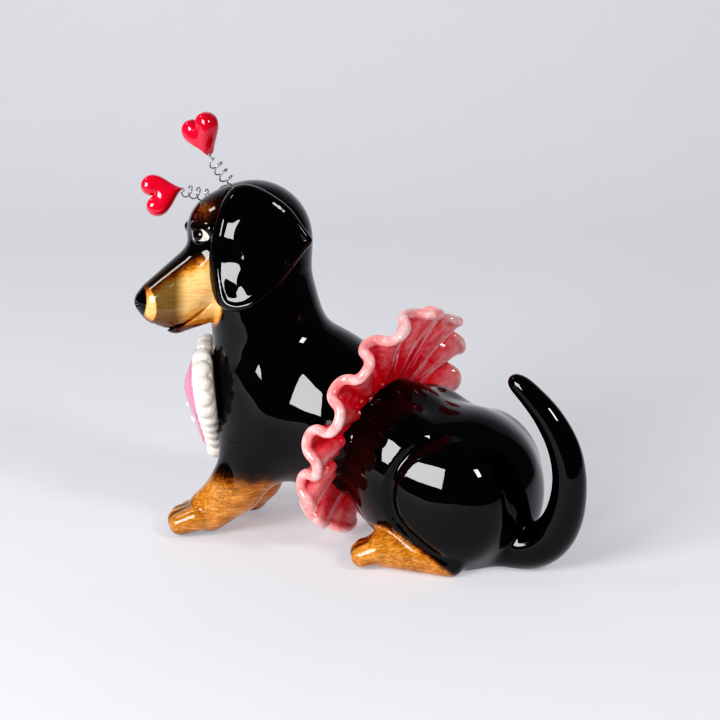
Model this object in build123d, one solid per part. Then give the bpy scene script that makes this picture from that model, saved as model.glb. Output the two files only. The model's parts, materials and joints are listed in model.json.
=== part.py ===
from build123d import *
import os
from math import cos, pi, radians, sin, sqrt

# A glazed, slip-cast dachshund that sits with its forelegs straight, in a ruffled
# skirt, with a heart plaque on its chest and two hearts on springs in its head.
# Millimetres, +Z up. The dog faces -Y and its left side is +X. The origin is on the
# floor, under the seat of the rump.

# ---------------------------------------------------------------- driving sizes
# walls and clearances
body_wall = 5.0
head_wall = 4.5
wire_clearance = 0.05       # round the spring wire, where it enters glue
sprig_sink = 0.3            # how deep the raised marks bed into the dome

# torso: one hull along the back, with haunches, a seat and a neck
torso_length = 170.0
torso_width = 75.0
torso_back = 21.0           # the rump's rearmost point, along Y
seat_radii = (33.0, 27.0, 15.0)
seat_height = 13.0
haunch_radii = (15.0, 30.0, 27.0)
haunch_height = 27.0
haunch_place = 0.22         # along the torso, from the rump
haunch_sink = 6.5           # each haunch's centre, in from the torso's side
chest_height = 70.0
neck_radius = 29.0
neck_top_radius = 26.0
neck_length = 41.0
neck_lean = 10.0            # degrees forward of upright
seam_height = 24.0          # the head seam, along the neck from its root

# head, in its own frame: left, back, up
head_turn = 39.0
head_roll = -10.0
skull_radii = (27.0, 27.0, 28.0)
brow_radii = (20.0, 17.0, 20.0)
muzzle_radius = 16.0
muzzle_tip_radius = 9.5
muzzle_length = 27.0
muzzle_drop = 19.0          # muzzle root below the skull centre
jaw_radii = (12.5, 20.0, 10.0)
nose_radii = (6.5, 5.0, 5.5)

# ears: a flat leaf each, hung from the side of the skull
ear_length = 62.0
ear_width = 49.0
ear_tip_radius = 14.0
ear_thickness = 7.0
ear_sink = 1.0              # how far a leaf's inner face lies inside the skull's widest point
ear_splay = 11.0            # degrees that the lower edge stands away

# legs and feet
elbow_radius = 17.0
wrist_radius = 12.0
paw_radii = (12.5, 17.0, 11.0)
paw_height = 8.0
left_paw_reach = 30.0       # forward of the chest centre
right_paw_reach = 31.0
left_paw_side = 35.0
right_paw_side = -4.0
shoulder_spread = 12.0
shoulder_drop = 17.0        # below the chest centre
hind_foot_radii = (9.5, 22.0, 9.0)
hind_foot_height = 6.5
hind_foot_side = 34.0
hind_foot_place = 0.31      # along the torso, from the rump

# tail: round sections, from the root to the tip
tail_root_radius = 9.0
tail_mid_radius = 7.0
tail_tip_radius = 2.8
tail_height = 91.0
tail_reach = 40.0           # furthest point behind the origin
tail_side = 12.0

# skirt
skirt_radius = 61.0
skirt_inner_radius = 24.0
skirt_tilt = 20.0           # degrees that the ring leans back from upright
skirt_place = 0.47          # along the torso, from the rump
skirt_height = 62.0         # the ring's centre above the floor
skirt_turn = 8.0            # degrees that its left side stands forward
skirt_waves = 14
skirt_wave_height = 6.5
skirt_thickness = 5.0
skirt_hem_thickness = 3.6

# heart plaque
plaque_size = 30.0          # half its width
plaque_thickness = 9.0
plaque_turn = 24.0          # degrees to the dog's left
plaque_lean = 5.0           # degrees that its top leans forward
plaque_bed = 5.0            # how deep its back face lies behind the chest's front
plaque_drop = 5.0           # below the chest centre
scallop_radius = 4.0
scallop_count = 24
dome_height = 5.5
dome_share = 0.80           # of the plaque's outline
vent_diameter = 2.5
sprig_diameter = 4.0
sprig_height = 1.0
sprig_spacing = 8.5
sprig_middle = -1.0          # the middle mark, above the plaque's centre
base_vent_diameter = 10.0
base_vent_back = -25.0

# hearts on springs
wire_diameter = 0.7
coil_diameter = 6.0
coil_turns = 3
coil_pitch = 4.0
wire_tail = 2.5             # straight wire at each end of the coil
bend_share = 0.98           # the bend's thickness, of the wire's
bend_overlap = 0.3          # how far the bend runs into the coil, of the wire's radius
tail_overlap = 1.1          # how far a straight tail passes its bend, of the wire's radius
socket_diameter = 3.0
socket_depth = 3.0
glue_dome_radius = 2.6
heart_hole_depth = 3.0
heart_hole_diameter = 1.8
bopper_size = 10.5          # half a heart's width
bopper_thickness = 10.0


# ---------------------------------------------------------------- helpers
def ellipsoid(centre, radii, turn=0.0):
    """A soft volume, turned about X when asked."""
    return Pos(*centre) * Rot(turn, 0, 0) * scale(Sphere(1), by=radii)


def shrunk(radii, wall):
    """Radii of the hollow inside a wall."""
    return tuple(radius - wall for radius in radii)


def round_rod(start, end, start_radius, end_radius):
    """A tapering rod with a ball at each end."""
    start, end = Vector(*start), Vector(*end)
    plane = Plane(origin=start, z_dir=end - start)
    length = (end - start).length
    middle = Cone(start_radius, end_radius, length, align=(Align.CENTER, Align.CENTER, Align.MIN))
    rod = plane * middle
    rod += Pos(start) * Sphere(start_radius)
    rod += Pos(end) * Sphere(end_radius)
    return rod


def reach(direction, radii):
    """Distance from an ellipsoid's centre to its surface, along a unit direction."""
    return 1 / sqrt(sum((part / radius) ** 2 for part, radius in zip(direction, radii)))


def largest(shape):
    """The biggest solid of a cut shape, without slivers."""
    return max(shape.solids(), key=lambda solid: solid.volume)


def above_floor(shape):
    """The part of a shape that stands above the floor."""
    floor = Box(800, 800, 200, align=(Align.CENTER, Align.CENTER, Align.MAX))
    return shape - floor


def heart_point(angle, size):
    """A point on a heart's outline; the point of the heart is at the bottom."""
    x = sin(angle) ** 3
    y = (13 * cos(angle) - 5 * cos(2 * angle) - 2 * cos(3 * angle) - cos(4 * angle) + 2.5) / 14.5
    return x * size, y * size


def heart_face(size, height=0.0, steps=12):
    """A flat heart, one curve for each half, at a height above its plane."""
    half = [heart_point(pi * step / steps, size) for step in range(steps + 1)]
    right = Spline([(x, y, height) for x, y in half])
    left = Spline([(-x, y, height) for x, y in half])
    return make_face(Wire([right, left]))


# ---------------------------------------------------------------- torso
# share of the length, share of the half width, half height and centre height
torso_stations = [
    (0.01, 0.24, 9.0, 26.0), (0.03, 0.55, 18.0, 25.0), (0.08, 0.80, 25.5, 27.0),
    (0.17, 0.96, 32.0, 31.0), (0.30, 1.00, 36.5, 38.0), (0.43, 0.98, 36.5, 45.0),
    (0.56, 0.95, 39.0, 56.0), (0.68, 0.93, 41.0, 64.0), (0.80, 0.88, 38.0, 69.0),
    (0.89, 0.77, 31.0, 73.0), (0.955, 0.56, 21.0, 76.0), (0.99, 0.24, 9.0, 78.0),
]


def along(share, height):
    """A point in the middle plane, at a share of the torso's length from its back."""
    return (0, torso_back - torso_length * share, height)


def torso_volume(wall=0.0):
    """The torso's hull lofted through elliptical stations, or the hollow inside its wall."""
    inset = 1 - 2 * wall / torso_length
    sections = []
    for share, width, half_height, height in torso_stations:
        place = along(0.5 + (share - 0.5) * inset, height)
        half_width = max(width * torso_width / 2 - wall, wall / 2)
        section = Ellipse(half_width, max(half_height - wall, wall / 2))
        sections.append(Plane(origin=place, x_dir=(1, 0, 0), z_dir=(0, -1, 0)) * section)
    return loft(sections)


chest_centre = Vector(*along(0.79, chest_height)) + Vector(4, 0, 0)
neck_axis = Vector(3, -neck_length * sin(radians(neck_lean)), neck_length).normalized()
neck_root = chest_centre + Vector(0, -2, 17)
neck_top = neck_root + neck_axis * neck_length
seam_plane = Plane(origin=neck_root + neck_axis * seam_height, z_dir=neck_axis)


def neck_volume(wall=0.0):
    """The whole neck, from inside the chest to inside the skull."""
    return round_rod(neck_root, neck_top, neck_radius - wall, neck_top_radius - wall)


def below_seam():
    """The space under the head seam."""
    block = Box(300, 300, 300, align=(Align.CENTER, Align.CENTER, Align.MAX))
    return seam_plane * block


def above_seam():
    """The space over the head seam."""
    block = Box(300, 300, 300, align=(Align.CENTER, Align.CENTER, Align.MIN))
    return seam_plane * block


def torso_outside():
    """The torso's outer shape, with haunches, seat and the lower part of the neck."""
    solid = torso_volume() + (neck_volume() & below_seam())
    solid += ellipsoid((0, 0, seat_height), seat_radii)
    for side in (1, -1):
        spread = torso_width / 2 - haunch_sink
        haunch = Vector(side * spread, 0, 0) + Vector(*along(haunch_place, haunch_height))
        solid += ellipsoid(haunch, haunch_radii, 12)
    return above_floor(solid)


def make_torso(outside):
    """The body casting: one shell, open at the neck, with a vent in its base."""
    hollow = torso_volume(body_wall) + neck_volume(body_wall)
    floor_level = Pos(0, 0, body_wall) * Box(800, 800, 200, align=(Align.CENTER, Align.CENTER, Align.MAX))
    hollow -= floor_level
    vent = Pos(0, base_vent_back, 0) * Cylinder(base_vent_diameter / 2, 4 * body_wall)
    return largest(outside - hollow - vent)


# ---------------------------------------------------------------- head
skull_centre = neck_top + Vector(0, -3, 19)
head_frame = Pos(skull_centre) * Rot(0, 0, head_turn) * Rot(0, head_roll, 0)


def head_volume(wall=0.0):
    """The skull, brow, muzzle, jaw and nose in the head's frame, or the hollow inside."""
    muzzle_root = (0, -20, -muzzle_drop)
    muzzle_tip = (0, -20 - muzzle_length, -muzzle_drop - 9.5)
    solid = ellipsoid((0, 1, 0), shrunk(skull_radii, wall))
    solid += ellipsoid((0, -18, -6), shrunk(brow_radii, wall))
    solid += round_rod(muzzle_root, muzzle_tip, muzzle_radius - wall, muzzle_tip_radius - wall)
    if wall == 0:
        solid += ellipsoid((0, -31, -muzzle_drop - 15), jaw_radii, 8)
        solid += ellipsoid((0, -27 - muzzle_length, -muzzle_drop - 7), nose_radii)
    return head_frame * solid


def make_head(torso):
    """The head casting, open at the neck seam, with two spring sockets in its crown."""
    solid = head_volume() + (neck_volume() & above_seam())
    solid -= head_volume(head_wall) + neck_volume(body_wall)
    for bopper in boppers:
        solid -= bopper.socket()
    return largest(solid - torso)


def make_ear(side, head, torso):
    """One ear: a flat leaf that hangs from the crown, its round tip low and forward."""
    top_radius = ear_width / 2.2
    leaf = Ellipse(ear_width / 2, top_radius)
    tip_place = Pos(-ear_width * 0.2, top_radius + ear_tip_radius - ear_length)
    outline = make_hull((leaf + tip_place * Circle(ear_tip_radius)).edges())
    slab = extrude(outline, ear_thickness / 2, both=True)
    slab = fillet(slab.edges(), ear_thickness * 0.4)
    out = side * (skull_radii[0] - ear_sink + ear_thickness / 2)
    upright = Location(Plane(origin=(out, 6, 2), x_dir=(0, 1, 0), z_dir=(1, 0, 0)))
    swing = Pos(out, 0, 0) * Rot(0, side * ear_splay, 0) * Pos(-out, 0, 0)
    ear = head_frame * swing * upright * slab
    return largest(ear - head - torso)


# ---------------------------------------------------------------- legs, feet, tail
def make_foreleg(side, paw_side, paw_reach, torso):
    """One foreleg, from the shoulder to a paw that rests flat."""
    shoulder = chest_centre + Vector(side * shoulder_spread, 2, -shoulder_drop)
    paw = Vector(paw_side, chest_centre.Y - paw_reach, paw_height)
    wrist = paw + Vector(-2, 12, wrist_radius - 2)
    leg = round_rod(shoulder, wrist, elbow_radius, wrist_radius)
    leg += ellipsoid(paw, paw_radii)
    return largest(above_floor(leg - torso))


def make_hind_foot(side, torso):
    """One hind foot, lying forward from under its haunch."""
    place = Vector(side * hind_foot_side, 0, 0) + Vector(*along(hind_foot_place, hind_foot_height))
    foot = ellipsoid(place, hind_foot_radii)
    return largest(above_floor(foot - torso))


def make_tail(torso):
    """The tail: round sections that curl up behind the rump to a fine tip."""
    rise, back, side = tail_height, tail_reach, tail_side
    stations = [
        (side - 4, 8, tail_root_radius, tail_root_radius),
        (side - 3, back * 0.62, tail_root_radius + 1.0, tail_root_radius),
        (side - 1, back * 0.90, rise * 0.24, tail_root_radius - 1.2),
        (side, back, rise * 0.42, tail_mid_radius),
        (side - 1, back * 0.93, rise * 0.61, tail_mid_radius - 1.2),
        (side - 3, back * 0.68, rise * 0.81, tail_mid_radius - 2.4),
        (side - 5, back * 0.30, rise, tail_tip_radius),
    ]
    centres = [Vector(x, y, z) for x, y, z, _ in stations]
    path = Spline(centres)
    sections = []
    for centre, station in zip(centres, stations):
        share = path.param_at_point(centre)
        plane = Plane(origin=centre, z_dir=path.tangent_at(share))
        sections.append(plane * Circle(station[3]))
    tail = loft(sections) + Pos(centres[-1]) * Sphere(tail_tip_radius)
    return largest(above_floor(tail - torso))


# ---------------------------------------------------------------- skirt
def make_skirt(torso):
    """The ruffled skirt: one wave lofted from radial sections, repeated round the ring."""
    quarter = 2 * pi / skirt_waves / 4
    sections = []
    for step in range(5):
        angle = step * quarter
        swing = skirt_wave_height * sin(skirt_waves * angle)
        place = Plane(origin=(0, 0, 0), x_dir=(cos(angle), sin(angle), 0),
                      z_dir=(sin(angle), -cos(angle), 0))
        inner, outer = skirt_thickness / 2, skirt_hem_thickness / 2
        outline = Polyline((skirt_inner_radius, inner), (skirt_radius, swing + outer),
                           (skirt_radius, swing - outer), (skirt_inner_radius, -inner), close=True)
        sections.append(place * make_face(outline))
    wave = loft(sections)
    ring = wave
    for turn in range(1, skirt_waves):
        ring += Rot(0, 0, turn * 360 / skirt_waves) * wave
    skirt = Pos(*along(skirt_place, skirt_height)) * Rot(0, 0, -skirt_turn) * Rot(90 - skirt_tilt, 0, 0) * ring
    return largest(above_floor(skirt - torso))


# ---------------------------------------------------------------- plaque
facing = Vector(sin(radians(plaque_turn)), -cos(radians(plaque_turn)), 0)
chest_front = torso_back - torso_length - chest_centre.Y
plaque_place = chest_centre + Vector(facing.X * 0.8, facing.Y, 0) * (-chest_front - plaque_bed)
plaque_frame = Pos(plaque_place - Vector(0, 0, plaque_drop)) * Rot(0, 0, plaque_turn) * Rot(90 + plaque_lean, 0, 0)


def make_plaque(torso, head):
    """The white heart with a scalloped edge, and a pin-size vent in its back rim."""
    outline = Sketch() + heart_face(plaque_size - scallop_radius)
    for number in range(scallop_count):
        angle = 2 * pi * (number + 0.5) / scallop_count
        x, y = heart_point(angle, plaque_size - scallop_radius)
        outline += Pos(x, y) * Circle(scallop_radius)
    slab = extrude(outline, plaque_thickness)
    slab = plaque_frame * slab
    return largest(slab - torso - head)


def dome_volume():
    """The pink dome on the plaque's face, in the plaque's frame."""
    size = plaque_size * dome_share
    top = plaque_thickness
    layers = [(1.0, 0.0), (0.86, 0.62), (0.60, 0.9), (0.30, 1.0)]
    faces = [heart_face(size * share, top + dome_height * rise) for share, rise in layers]
    return loft(faces)


def make_sprigs(dome):
    """Three small raised marks in a row down the dome."""
    marks = []
    for number in (-1, 0, 1):
        mark = Cylinder(sprig_diameter / 2, dome_height + sprig_height,
                        align=(Align.CENTER, Align.CENTER, Align.MIN))
        mark = Pos(0, sprig_middle + number * sprig_spacing, plaque_thickness) * mark
        marks.append(largest(mark - dome))
    return Compound([plaque_frame * mark for mark in marks])


# ---------------------------------------------------------------- hearts on springs
class Bopper:
    """One heart on its spring. All its directions are in the head's frame."""

    def __init__(self, name, crown, spring_axis, heart_up, heart_facing):
        self.name = name
        direction = Vector(*crown).normalized()
        self.foot = Vector(0, 1, 0) + direction * reach(direction, skull_radii)
        self.axis = Vector(*spring_axis).normalized()
        self.frame = head_frame * Location(Plane(origin=self.foot, z_dir=self.axis))
        self.coil_low = glue_dome_radius + wire_tail
        self.coil_high = self.coil_low + coil_turns * coil_pitch
        self.heart_tip = self.coil_high + wire_tail
        tip = self.foot + self.axis * self.heart_tip
        across = Vector(*heart_up).cross(Vector(*heart_facing))
        level = Plane(origin=tip, x_dir=across, z_dir=across.cross(Vector(*heart_up)))
        self.heart_frame = head_frame * Location(level)

    def wire(self):
        """The coil with a straight tail at each end, on the spring's axis."""
        radius = coil_diameter / 2
        thickness = wire_diameter / 2
        bend = radius + thickness * bend_overlap
        helix = Pos(0, 0, self.coil_low) * Helix(coil_pitch, coil_turns * coil_pitch, radius)
        section = Plane(origin=helix @ 0, z_dir=helix % 0) * Circle(thickness)
        wire = sweep(section, path=helix, is_frenet=True)
        bottom = 1.0 - socket_depth
        top = self.heart_tip + heart_hole_depth - 0.5
        past = thickness * tail_overlap
        for height, low, high in (
            (self.coil_low, bottom, self.coil_low + past),
            (self.coil_high, self.coil_high - past, top),
        ):
            tail = Pos(0, 0, (low + high) / 2) * Cylinder(thickness, high - low)
            tail += Pos(radius / 2, 0, height) * Rot(0, 90, 0) * Cylinder(thickness * bend_share, bend)
            wire += tail
        return self.frame * wire

    def socket(self):
        """The drilled socket in the crown."""
        return self.frame * Cylinder(socket_diameter / 2, 2 * socket_depth)

    def socket_glue(self, head):
        """The clear bead that holds the wire in the crown."""
        bead = Sphere(glue_dome_radius)
        bead += Pos(0, 0, -socket_depth / 2) * Cylinder(socket_diameter / 2, socket_depth)
        bead -= Cylinder(wire_diameter / 2 + wire_clearance, 40)
        inside = head_frame * ellipsoid((0, 1, 0), shrunk(skull_radii, 0.05))
        dome = (self.frame * bead) - inside
        plug = (self.frame * bead) & self.socket()
        return largest((dome + plug) - head)

    def heart_hole(self):
        """The blind hole in the heart's tip, along the spring's axis."""
        depth = heart_hole_depth + 1.0
        hole = Cylinder(heart_hole_diameter / 2, depth, align=(Align.CENTER, Align.CENTER, Align.MIN))
        return self.frame * Pos(0, 0, self.heart_tip - 1.0) * hole

    def heart(self):
        """The puffed heart, its tip on the wire."""
        half = bopper_thickness / 2
        layers = [(-1.0, 0.45), (-0.75, 0.80), (-0.35, 0.97), (0.35, 0.97), (0.75, 0.80), (1.0, 0.45)]
        faces = [heart_face(bopper_size * share, half * depth) for depth, share in layers]
        puff = self.heart_frame * Pos(0, bopper_size * 0.97, 0) * loft(faces)
        return largest(puff - self.heart_hole())

    def heart_glue(self, heart):
        """The bead that fills the heart's hole round the wire."""
        depth = 2 * (heart_hole_depth - 0.4)
        core = Cylinder(wire_diameter / 2 + wire_clearance, depth)
        bead = self.heart_hole() - self.frame * Pos(0, 0, self.heart_tip) * core
        return largest(bead - heart)


boppers = [
    Bopper("left", (0.25, -0.36, 0.93), (0.05, -0.57, 0.82), (-0.18, -0.26, 0.95), (0.5, -0.85, 0.1)),
    Bopper("right", (-0.29, -0.58, 0.80), (-0.17, -0.95, 0.25), (-0.16, -0.93, -0.2), (0.96, -0.25, 0.1)),
]


# ---------------------------------------------------------------- assembly
def build():
    """Every piece by name."""
    outside = torso_outside()
    torso = make_torso(outside)
    head_outside = head_volume() + (neck_volume() & above_seam())
    head = make_head(outside)
    pieces = {"torso_casting": torso, "head_casting": head}
    for side, name in ((1, "ear_left"), (-1, "ear_right")):
        pieces[name] = make_ear(side, head_outside, outside)
    pieces["foreleg_left"] = make_foreleg(1, left_paw_side, left_paw_reach, outside)
    pieces["foreleg_right"] = make_foreleg(-1, right_paw_side, right_paw_reach, outside)
    for side, name in ((1, "hind_foot_left"), (-1, "hind_foot_right")):
        pieces[name] = make_hind_foot(side, outside)
    pieces["tail"] = make_tail(outside)
    pieces["tutu"] = make_skirt(outside)
    pieces["plaque_shell"] = make_plaque(outside, head_outside)
    dome = dome_volume()
    pieces["plaque_centre"] = plaque_frame * dome
    pieces["plaque_sprigs"] = make_sprigs(dome)
    for bopper in boppers:
        heart = bopper.heart()
        pieces[bopper.name + "_spring"] = bopper.wire()
        pieces[bopper.name + "_socket_glue"] = bopper.socket_glue(head)
        pieces[bopper.name + "_heart"] = heart
        pieces[bopper.name + "_heart_glue"] = bopper.heart_glue(heart)
    return pieces


os.makedirs("parts", exist_ok=True)
for node, shape in build().items():
    export_step(shape, "parts/" + node + ".step")
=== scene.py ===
"""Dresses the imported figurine: a glazed dachshund in a ruffled skirt, with a plaque and two sprung hearts."""
import json
import logging
import math
from dataclasses import dataclass, field
from enum import Enum
from itertools import product
from typing import Any, Protocol, Sequence

import bmesh
import bpy
import numpy as np
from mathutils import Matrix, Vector


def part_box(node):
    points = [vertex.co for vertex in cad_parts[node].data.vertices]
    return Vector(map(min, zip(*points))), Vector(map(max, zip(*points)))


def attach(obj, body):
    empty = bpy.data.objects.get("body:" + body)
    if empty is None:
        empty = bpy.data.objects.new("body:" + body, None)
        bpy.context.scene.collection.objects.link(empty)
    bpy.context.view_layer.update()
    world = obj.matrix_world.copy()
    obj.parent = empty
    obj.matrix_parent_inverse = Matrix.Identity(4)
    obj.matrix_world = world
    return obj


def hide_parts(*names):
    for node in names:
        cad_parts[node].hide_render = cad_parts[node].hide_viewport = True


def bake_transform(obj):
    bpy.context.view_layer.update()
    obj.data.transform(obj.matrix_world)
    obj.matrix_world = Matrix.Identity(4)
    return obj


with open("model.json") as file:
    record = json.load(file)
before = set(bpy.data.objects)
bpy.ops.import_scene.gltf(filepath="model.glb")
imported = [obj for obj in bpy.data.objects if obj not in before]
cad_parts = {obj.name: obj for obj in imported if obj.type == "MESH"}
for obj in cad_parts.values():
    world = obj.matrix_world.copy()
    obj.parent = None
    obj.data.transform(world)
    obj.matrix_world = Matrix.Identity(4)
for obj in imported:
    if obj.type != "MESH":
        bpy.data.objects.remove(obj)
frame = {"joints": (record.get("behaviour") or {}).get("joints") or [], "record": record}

log = logging.getLogger("figurine")
MM = 0.001
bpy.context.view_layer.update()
Array = np.ndarray
Triple = tuple[float, float, float]
FAR = 1e9
TINY = 1e-9


# ---------------------------------------------------------------- clay: soft volumes that blend
def turn(yaw: float = 0.0, pitch: float = 0.0, roll: float = 0.0) -> Array:
    """Gives the left, back and up directions of something turned from facing -Y.

    Args:
        yaw: degrees about the vertical, towards the dog's left.
        pitch: degrees about its own left axis.
        roll: degrees about its own back axis.

    Returns:
        A matrix whose rows are the three directions.
    """
    angles = [math.radians(angle) for angle in (yaw, pitch, roll)]
    (cy, sy), (cp, sp), (cr, sr) = ((math.cos(angle), math.sin(angle)) for angle in angles)
    about_z = np.array([[cy, -sy, 0], [sy, cy, 0], [0, 0, 1]])
    about_x = np.array([[1, 0, 0], [0, cp, -sp], [0, sp, cp]])
    about_y = np.array([[cr, 0, sr], [0, 1, 0], [-sr, 0, cr]])
    return (about_z @ about_x @ about_y).T


def smooth_min(a: Array, b: Array, width: float) -> Array:
    """Joins two distance fields with a rounded valley of a given width."""
    h = np.maximum(width - np.abs(a - b), 0.0) / width
    return np.minimum(a, b) - h * h * h * width / 6.0


def smooth_max(a: Array, b: Array, width: float) -> Array:
    """Intersects two distance fields with a rounded edge of a given width."""
    return -smooth_min(-a, -b, width)


def ease(value: Array, low: float, high: float) -> Array:
    """Rises smoothly from 0 at low to 1 at high."""
    t = np.clip((value - low) / (high - low), 0.0, 1.0)
    return t * t * (3 - 2 * t)


def smooth_path(points: Sequence[Sequence[float]], steps: int = 4, closed: bool = False) -> Array:
    """Rounds a path of points, or of points with radii.

    Args:
        points: rows of numbers.
        steps: how many rows each one becomes.
        closed: joins the last row to the first.

    Returns:
        The rounded rows.
    """
    p = np.array(points, float)
    p = np.vstack([p[-1], p, p[:2]]) if closed else np.vstack([2 * p[0] - p[1], p, 2 * p[-1] - p[-2]])
    before, at, after, later = p[:-3], p[1:-2], p[2:-1], p[3:]
    rows = [0.5 * (2 * at + (after - before) * t + (2 * before - 5 * at + 4 * after - later) * t ** 2
                   + (3 * at - before - 3 * after + later) * t ** 3) for t in np.arange(steps) / steps]
    smooth = np.stack(rows, 1).reshape(-1, p.shape[1])
    return smooth if closed else np.vstack([smooth, after[-1]])


def outline_distance(outline: Array, across: Array, up: Array) -> Array:
    """Measures how far points in a plane lie from a closed outline.

    Args:
        outline: the outline's corners, in order.
        across: each point's place across the plane.
        up: its place up the plane.

    Returns:
        A distance for each point, negative inside the outline.
    """
    points = np.stack([across, up], 1)
    best, inside = np.full(len(points), FAR), np.zeros(len(points), bool)
    for a, b in zip(outline, np.roll(outline, -1, 0)):
        ab, ap = b - a, points - a
        t = np.clip(ap @ ab / (ab @ ab), 0, 1)
        best = np.minimum(best, np.linalg.norm(ap - t[:, None] * ab, axis=1))
        crosses = (a[1] > points[:, 1]) != (b[1] > points[:, 1])
        rise = b[1] - a[1] if abs(b[1] - a[1]) > TINY else TINY
        inside ^= crosses & (points[:, 0] < (b[0] - a[0]) * (points[:, 1] - a[1]) / rise + a[0])
    return np.where(inside, -best, best)


class Shape(Protocol):
    """Anything with a signed distance: millimetres from its surface, and negative inside."""

    blend: float

    def distance(self, points: Array) -> Array:
        """Signed distance of each point."""


@dataclass(frozen=True)
class Place:
    """A frame of reference: an origin, and its left, back and up directions as rows."""

    origin: Array
    axes: Array

    def out(self, local: Sequence[float] | Array) -> Array:
        """Turns local millimetres into the figurine's."""
        return self.origin + np.asarray(local, float) @ self.axes

    def into(self, points: Array) -> Array:
        """Turns the figurine's millimetres into local ones."""
        return (points - self.origin) @ self.axes.T

    def moved(self, local: Triple, yaw: float = 0.0, pitch: float = 0.0, roll: float = 0.0) -> "Place":
        """A place beside this one, turned from it."""
        return Place(self.out(local), turn(yaw, pitch, roll) @ self.axes)

    def lump(self, centre: Triple, radii: Triple, blend: float = 8.0, pitch: float = 0.0) -> "Lump":
        """A lump of clay in this frame."""
        return Lump(self.moved(centre, 0.0, pitch), np.array(radii), blend)

    def rod(self, start: Triple, end: Triple, first: float, last: float, blend: float = 8.0) -> "Rod":
        """A tapering rod of clay in this frame."""
        return Rod(self.out(start), self.out(end), first, last, blend)


@dataclass(frozen=True)
class Lump:
    """An ellipsoid of clay."""

    place: Place
    radii: Array
    blend: float

    def distance(self, points: Array) -> Array:
        """Signed distance, exact enough near the surface.

        Args:
            points: places in millimetres.

        Returns:
            A distance for each point.
        """
        local = self.place.into(points)
        share = np.linalg.norm(local / self.radii, axis=1)
        slope = np.linalg.norm(local / (self.radii * self.radii), axis=1)
        return share * (share - 1.0) / np.maximum(slope, TINY)


@dataclass(frozen=True)
class Rod:
    """A tapering rod of clay with a ball at each end."""

    start: Array
    end: Array
    first: float
    last: float
    blend: float

    def distance(self, points: Array) -> Array:
        """Signed distance of a cone with round ends.

        Args:
            points: places in millimetres.

        Returns:
            A distance for each point.
        """
        along = self.end - self.start
        length = float(np.linalg.norm(along))
        q = points - self.start
        y = q @ (along / length)
        x = np.sqrt(np.maximum((q * q).sum(1) - y * y, 0))
        s = (self.first - self.last) / length
        c = math.sqrt(max(1 - s * s, TINY))
        k = c * y - s * x
        cap = np.where(k < 0, np.hypot(x, y) - self.first, np.hypot(x, y - length) - self.last)
        return np.where((k >= 0) & (k <= c * length), x * c + y * s - self.first, cap)


@dataclass(frozen=True)
class Groove:
    """A line cut a little way into the surface, seen along one direction, that fades out at its ends."""

    path: Array
    through: Array
    half_width: float
    depth: float
    centre: Array
    reach: float
    fade: float = 3.0

    def carve(self, points: Array, base: Array) -> Array:
        """Lowers a surface along the line.

        Args:
            points: places in millimetres.
            base: each point's signed distance before the cut.

        Returns:
            The distances after it.
        """
        near = np.linalg.norm(points - self.centre, axis=1) < self.reach
        if not near.any():
            return base
        local = points[near] - np.outer(points[near] @ self.through, self.through)
        flat = self.path - np.outer(self.path @ self.through, self.through)
        best, along, run = np.full(len(local), FAR), np.zeros(len(local)), 0.0
        for a, b in zip(flat[:-1], flat[1:]):
            ab = b - a
            length = float(np.linalg.norm(ab))
            t = np.clip((local - a) @ ab / (length * length), 0, 1)
            gap = np.linalg.norm(local - a - t[:, None] * ab, axis=1)
            along = np.where(gap < best, run + t * length, along)
            best, run = np.minimum(best, gap), run + length
        depth = self.depth * ease(along, 0, self.fade) * ease(along, run, run - self.fade)
        result = base.copy()
        result[near] = base[near] + depth * ease(best, self.half_width * 2.0, 0.0)
        return result


@dataclass
class Clay:
    """A sculpture: volumes that blend, hollows pressed into them and fine grooves."""

    solids: list[Shape] = field(default_factory=list)
    hollows: list[Shape] = field(default_factory=list)
    details: list[Shape] = field(default_factory=list)
    grooves: list[Groove] = field(default_factory=list)
    floor: float | None = None
    floor_blend: float = 1.2

    def distance(self, points: Array) -> Array:
        """Signed distance to the sculpture's surface.

        Args:
            points: places in millimetres.

        Returns:
            A distance for each point.
        """
        total = self.solids[0].distance(points)
        for shape in self.solids[1:]:
            total = smooth_min(total, shape.distance(points), shape.blend)
        for shape in self.hollows:
            total = smooth_max(total, -shape.distance(points), shape.blend)
        for shape in self.details:
            total = smooth_min(total, shape.distance(points), shape.blend)
        for groove in self.grooves:
            total = groove.carve(points, total)
        if self.floor is not None:
            total = smooth_max(total, self.floor - points[:, 2], self.floor_blend)
        return total

    def normals(self, points: Array, step: float = 0.02) -> tuple[Array, Array]:
        """Finds which way is out of the clay.

        Args:
            points: places in millimetres.
            step: how far apart the field is sampled.

        Returns:
            The direction in which the field rises at each point, and how fast it rises there.
        """
        slope = np.empty_like(points)
        for axis in range(3):
            offset = np.zeros(3)
            offset[axis] = step
            slope[:, axis] = self.distance(points + offset) - self.distance(points - offset)
        length = np.linalg.norm(slope, axis=1, keepdims=True)
        return slope / np.maximum(length, TINY * step), length / (2 * step)

    def settle(self, points: Array, steps: int = 2, stride: float = 0.6, least_rate: float = 0.3) -> Array:
        """Moves points onto the surface.

        Args:
            points: places in millimetres, near the surface.
            steps: how many times they move.
            stride: the furthest that one step goes.
            least_rate: the slowest rise that is believed.

        Returns:
            The moved points.
        """
        for _ in range(steps):
            direction, rate = self.normals(points)
            gap = self.distance(points)[:, None] / np.maximum(rate, least_rate)
            points = points - direction * np.clip(gap, -stride, stride)
        return points


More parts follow.
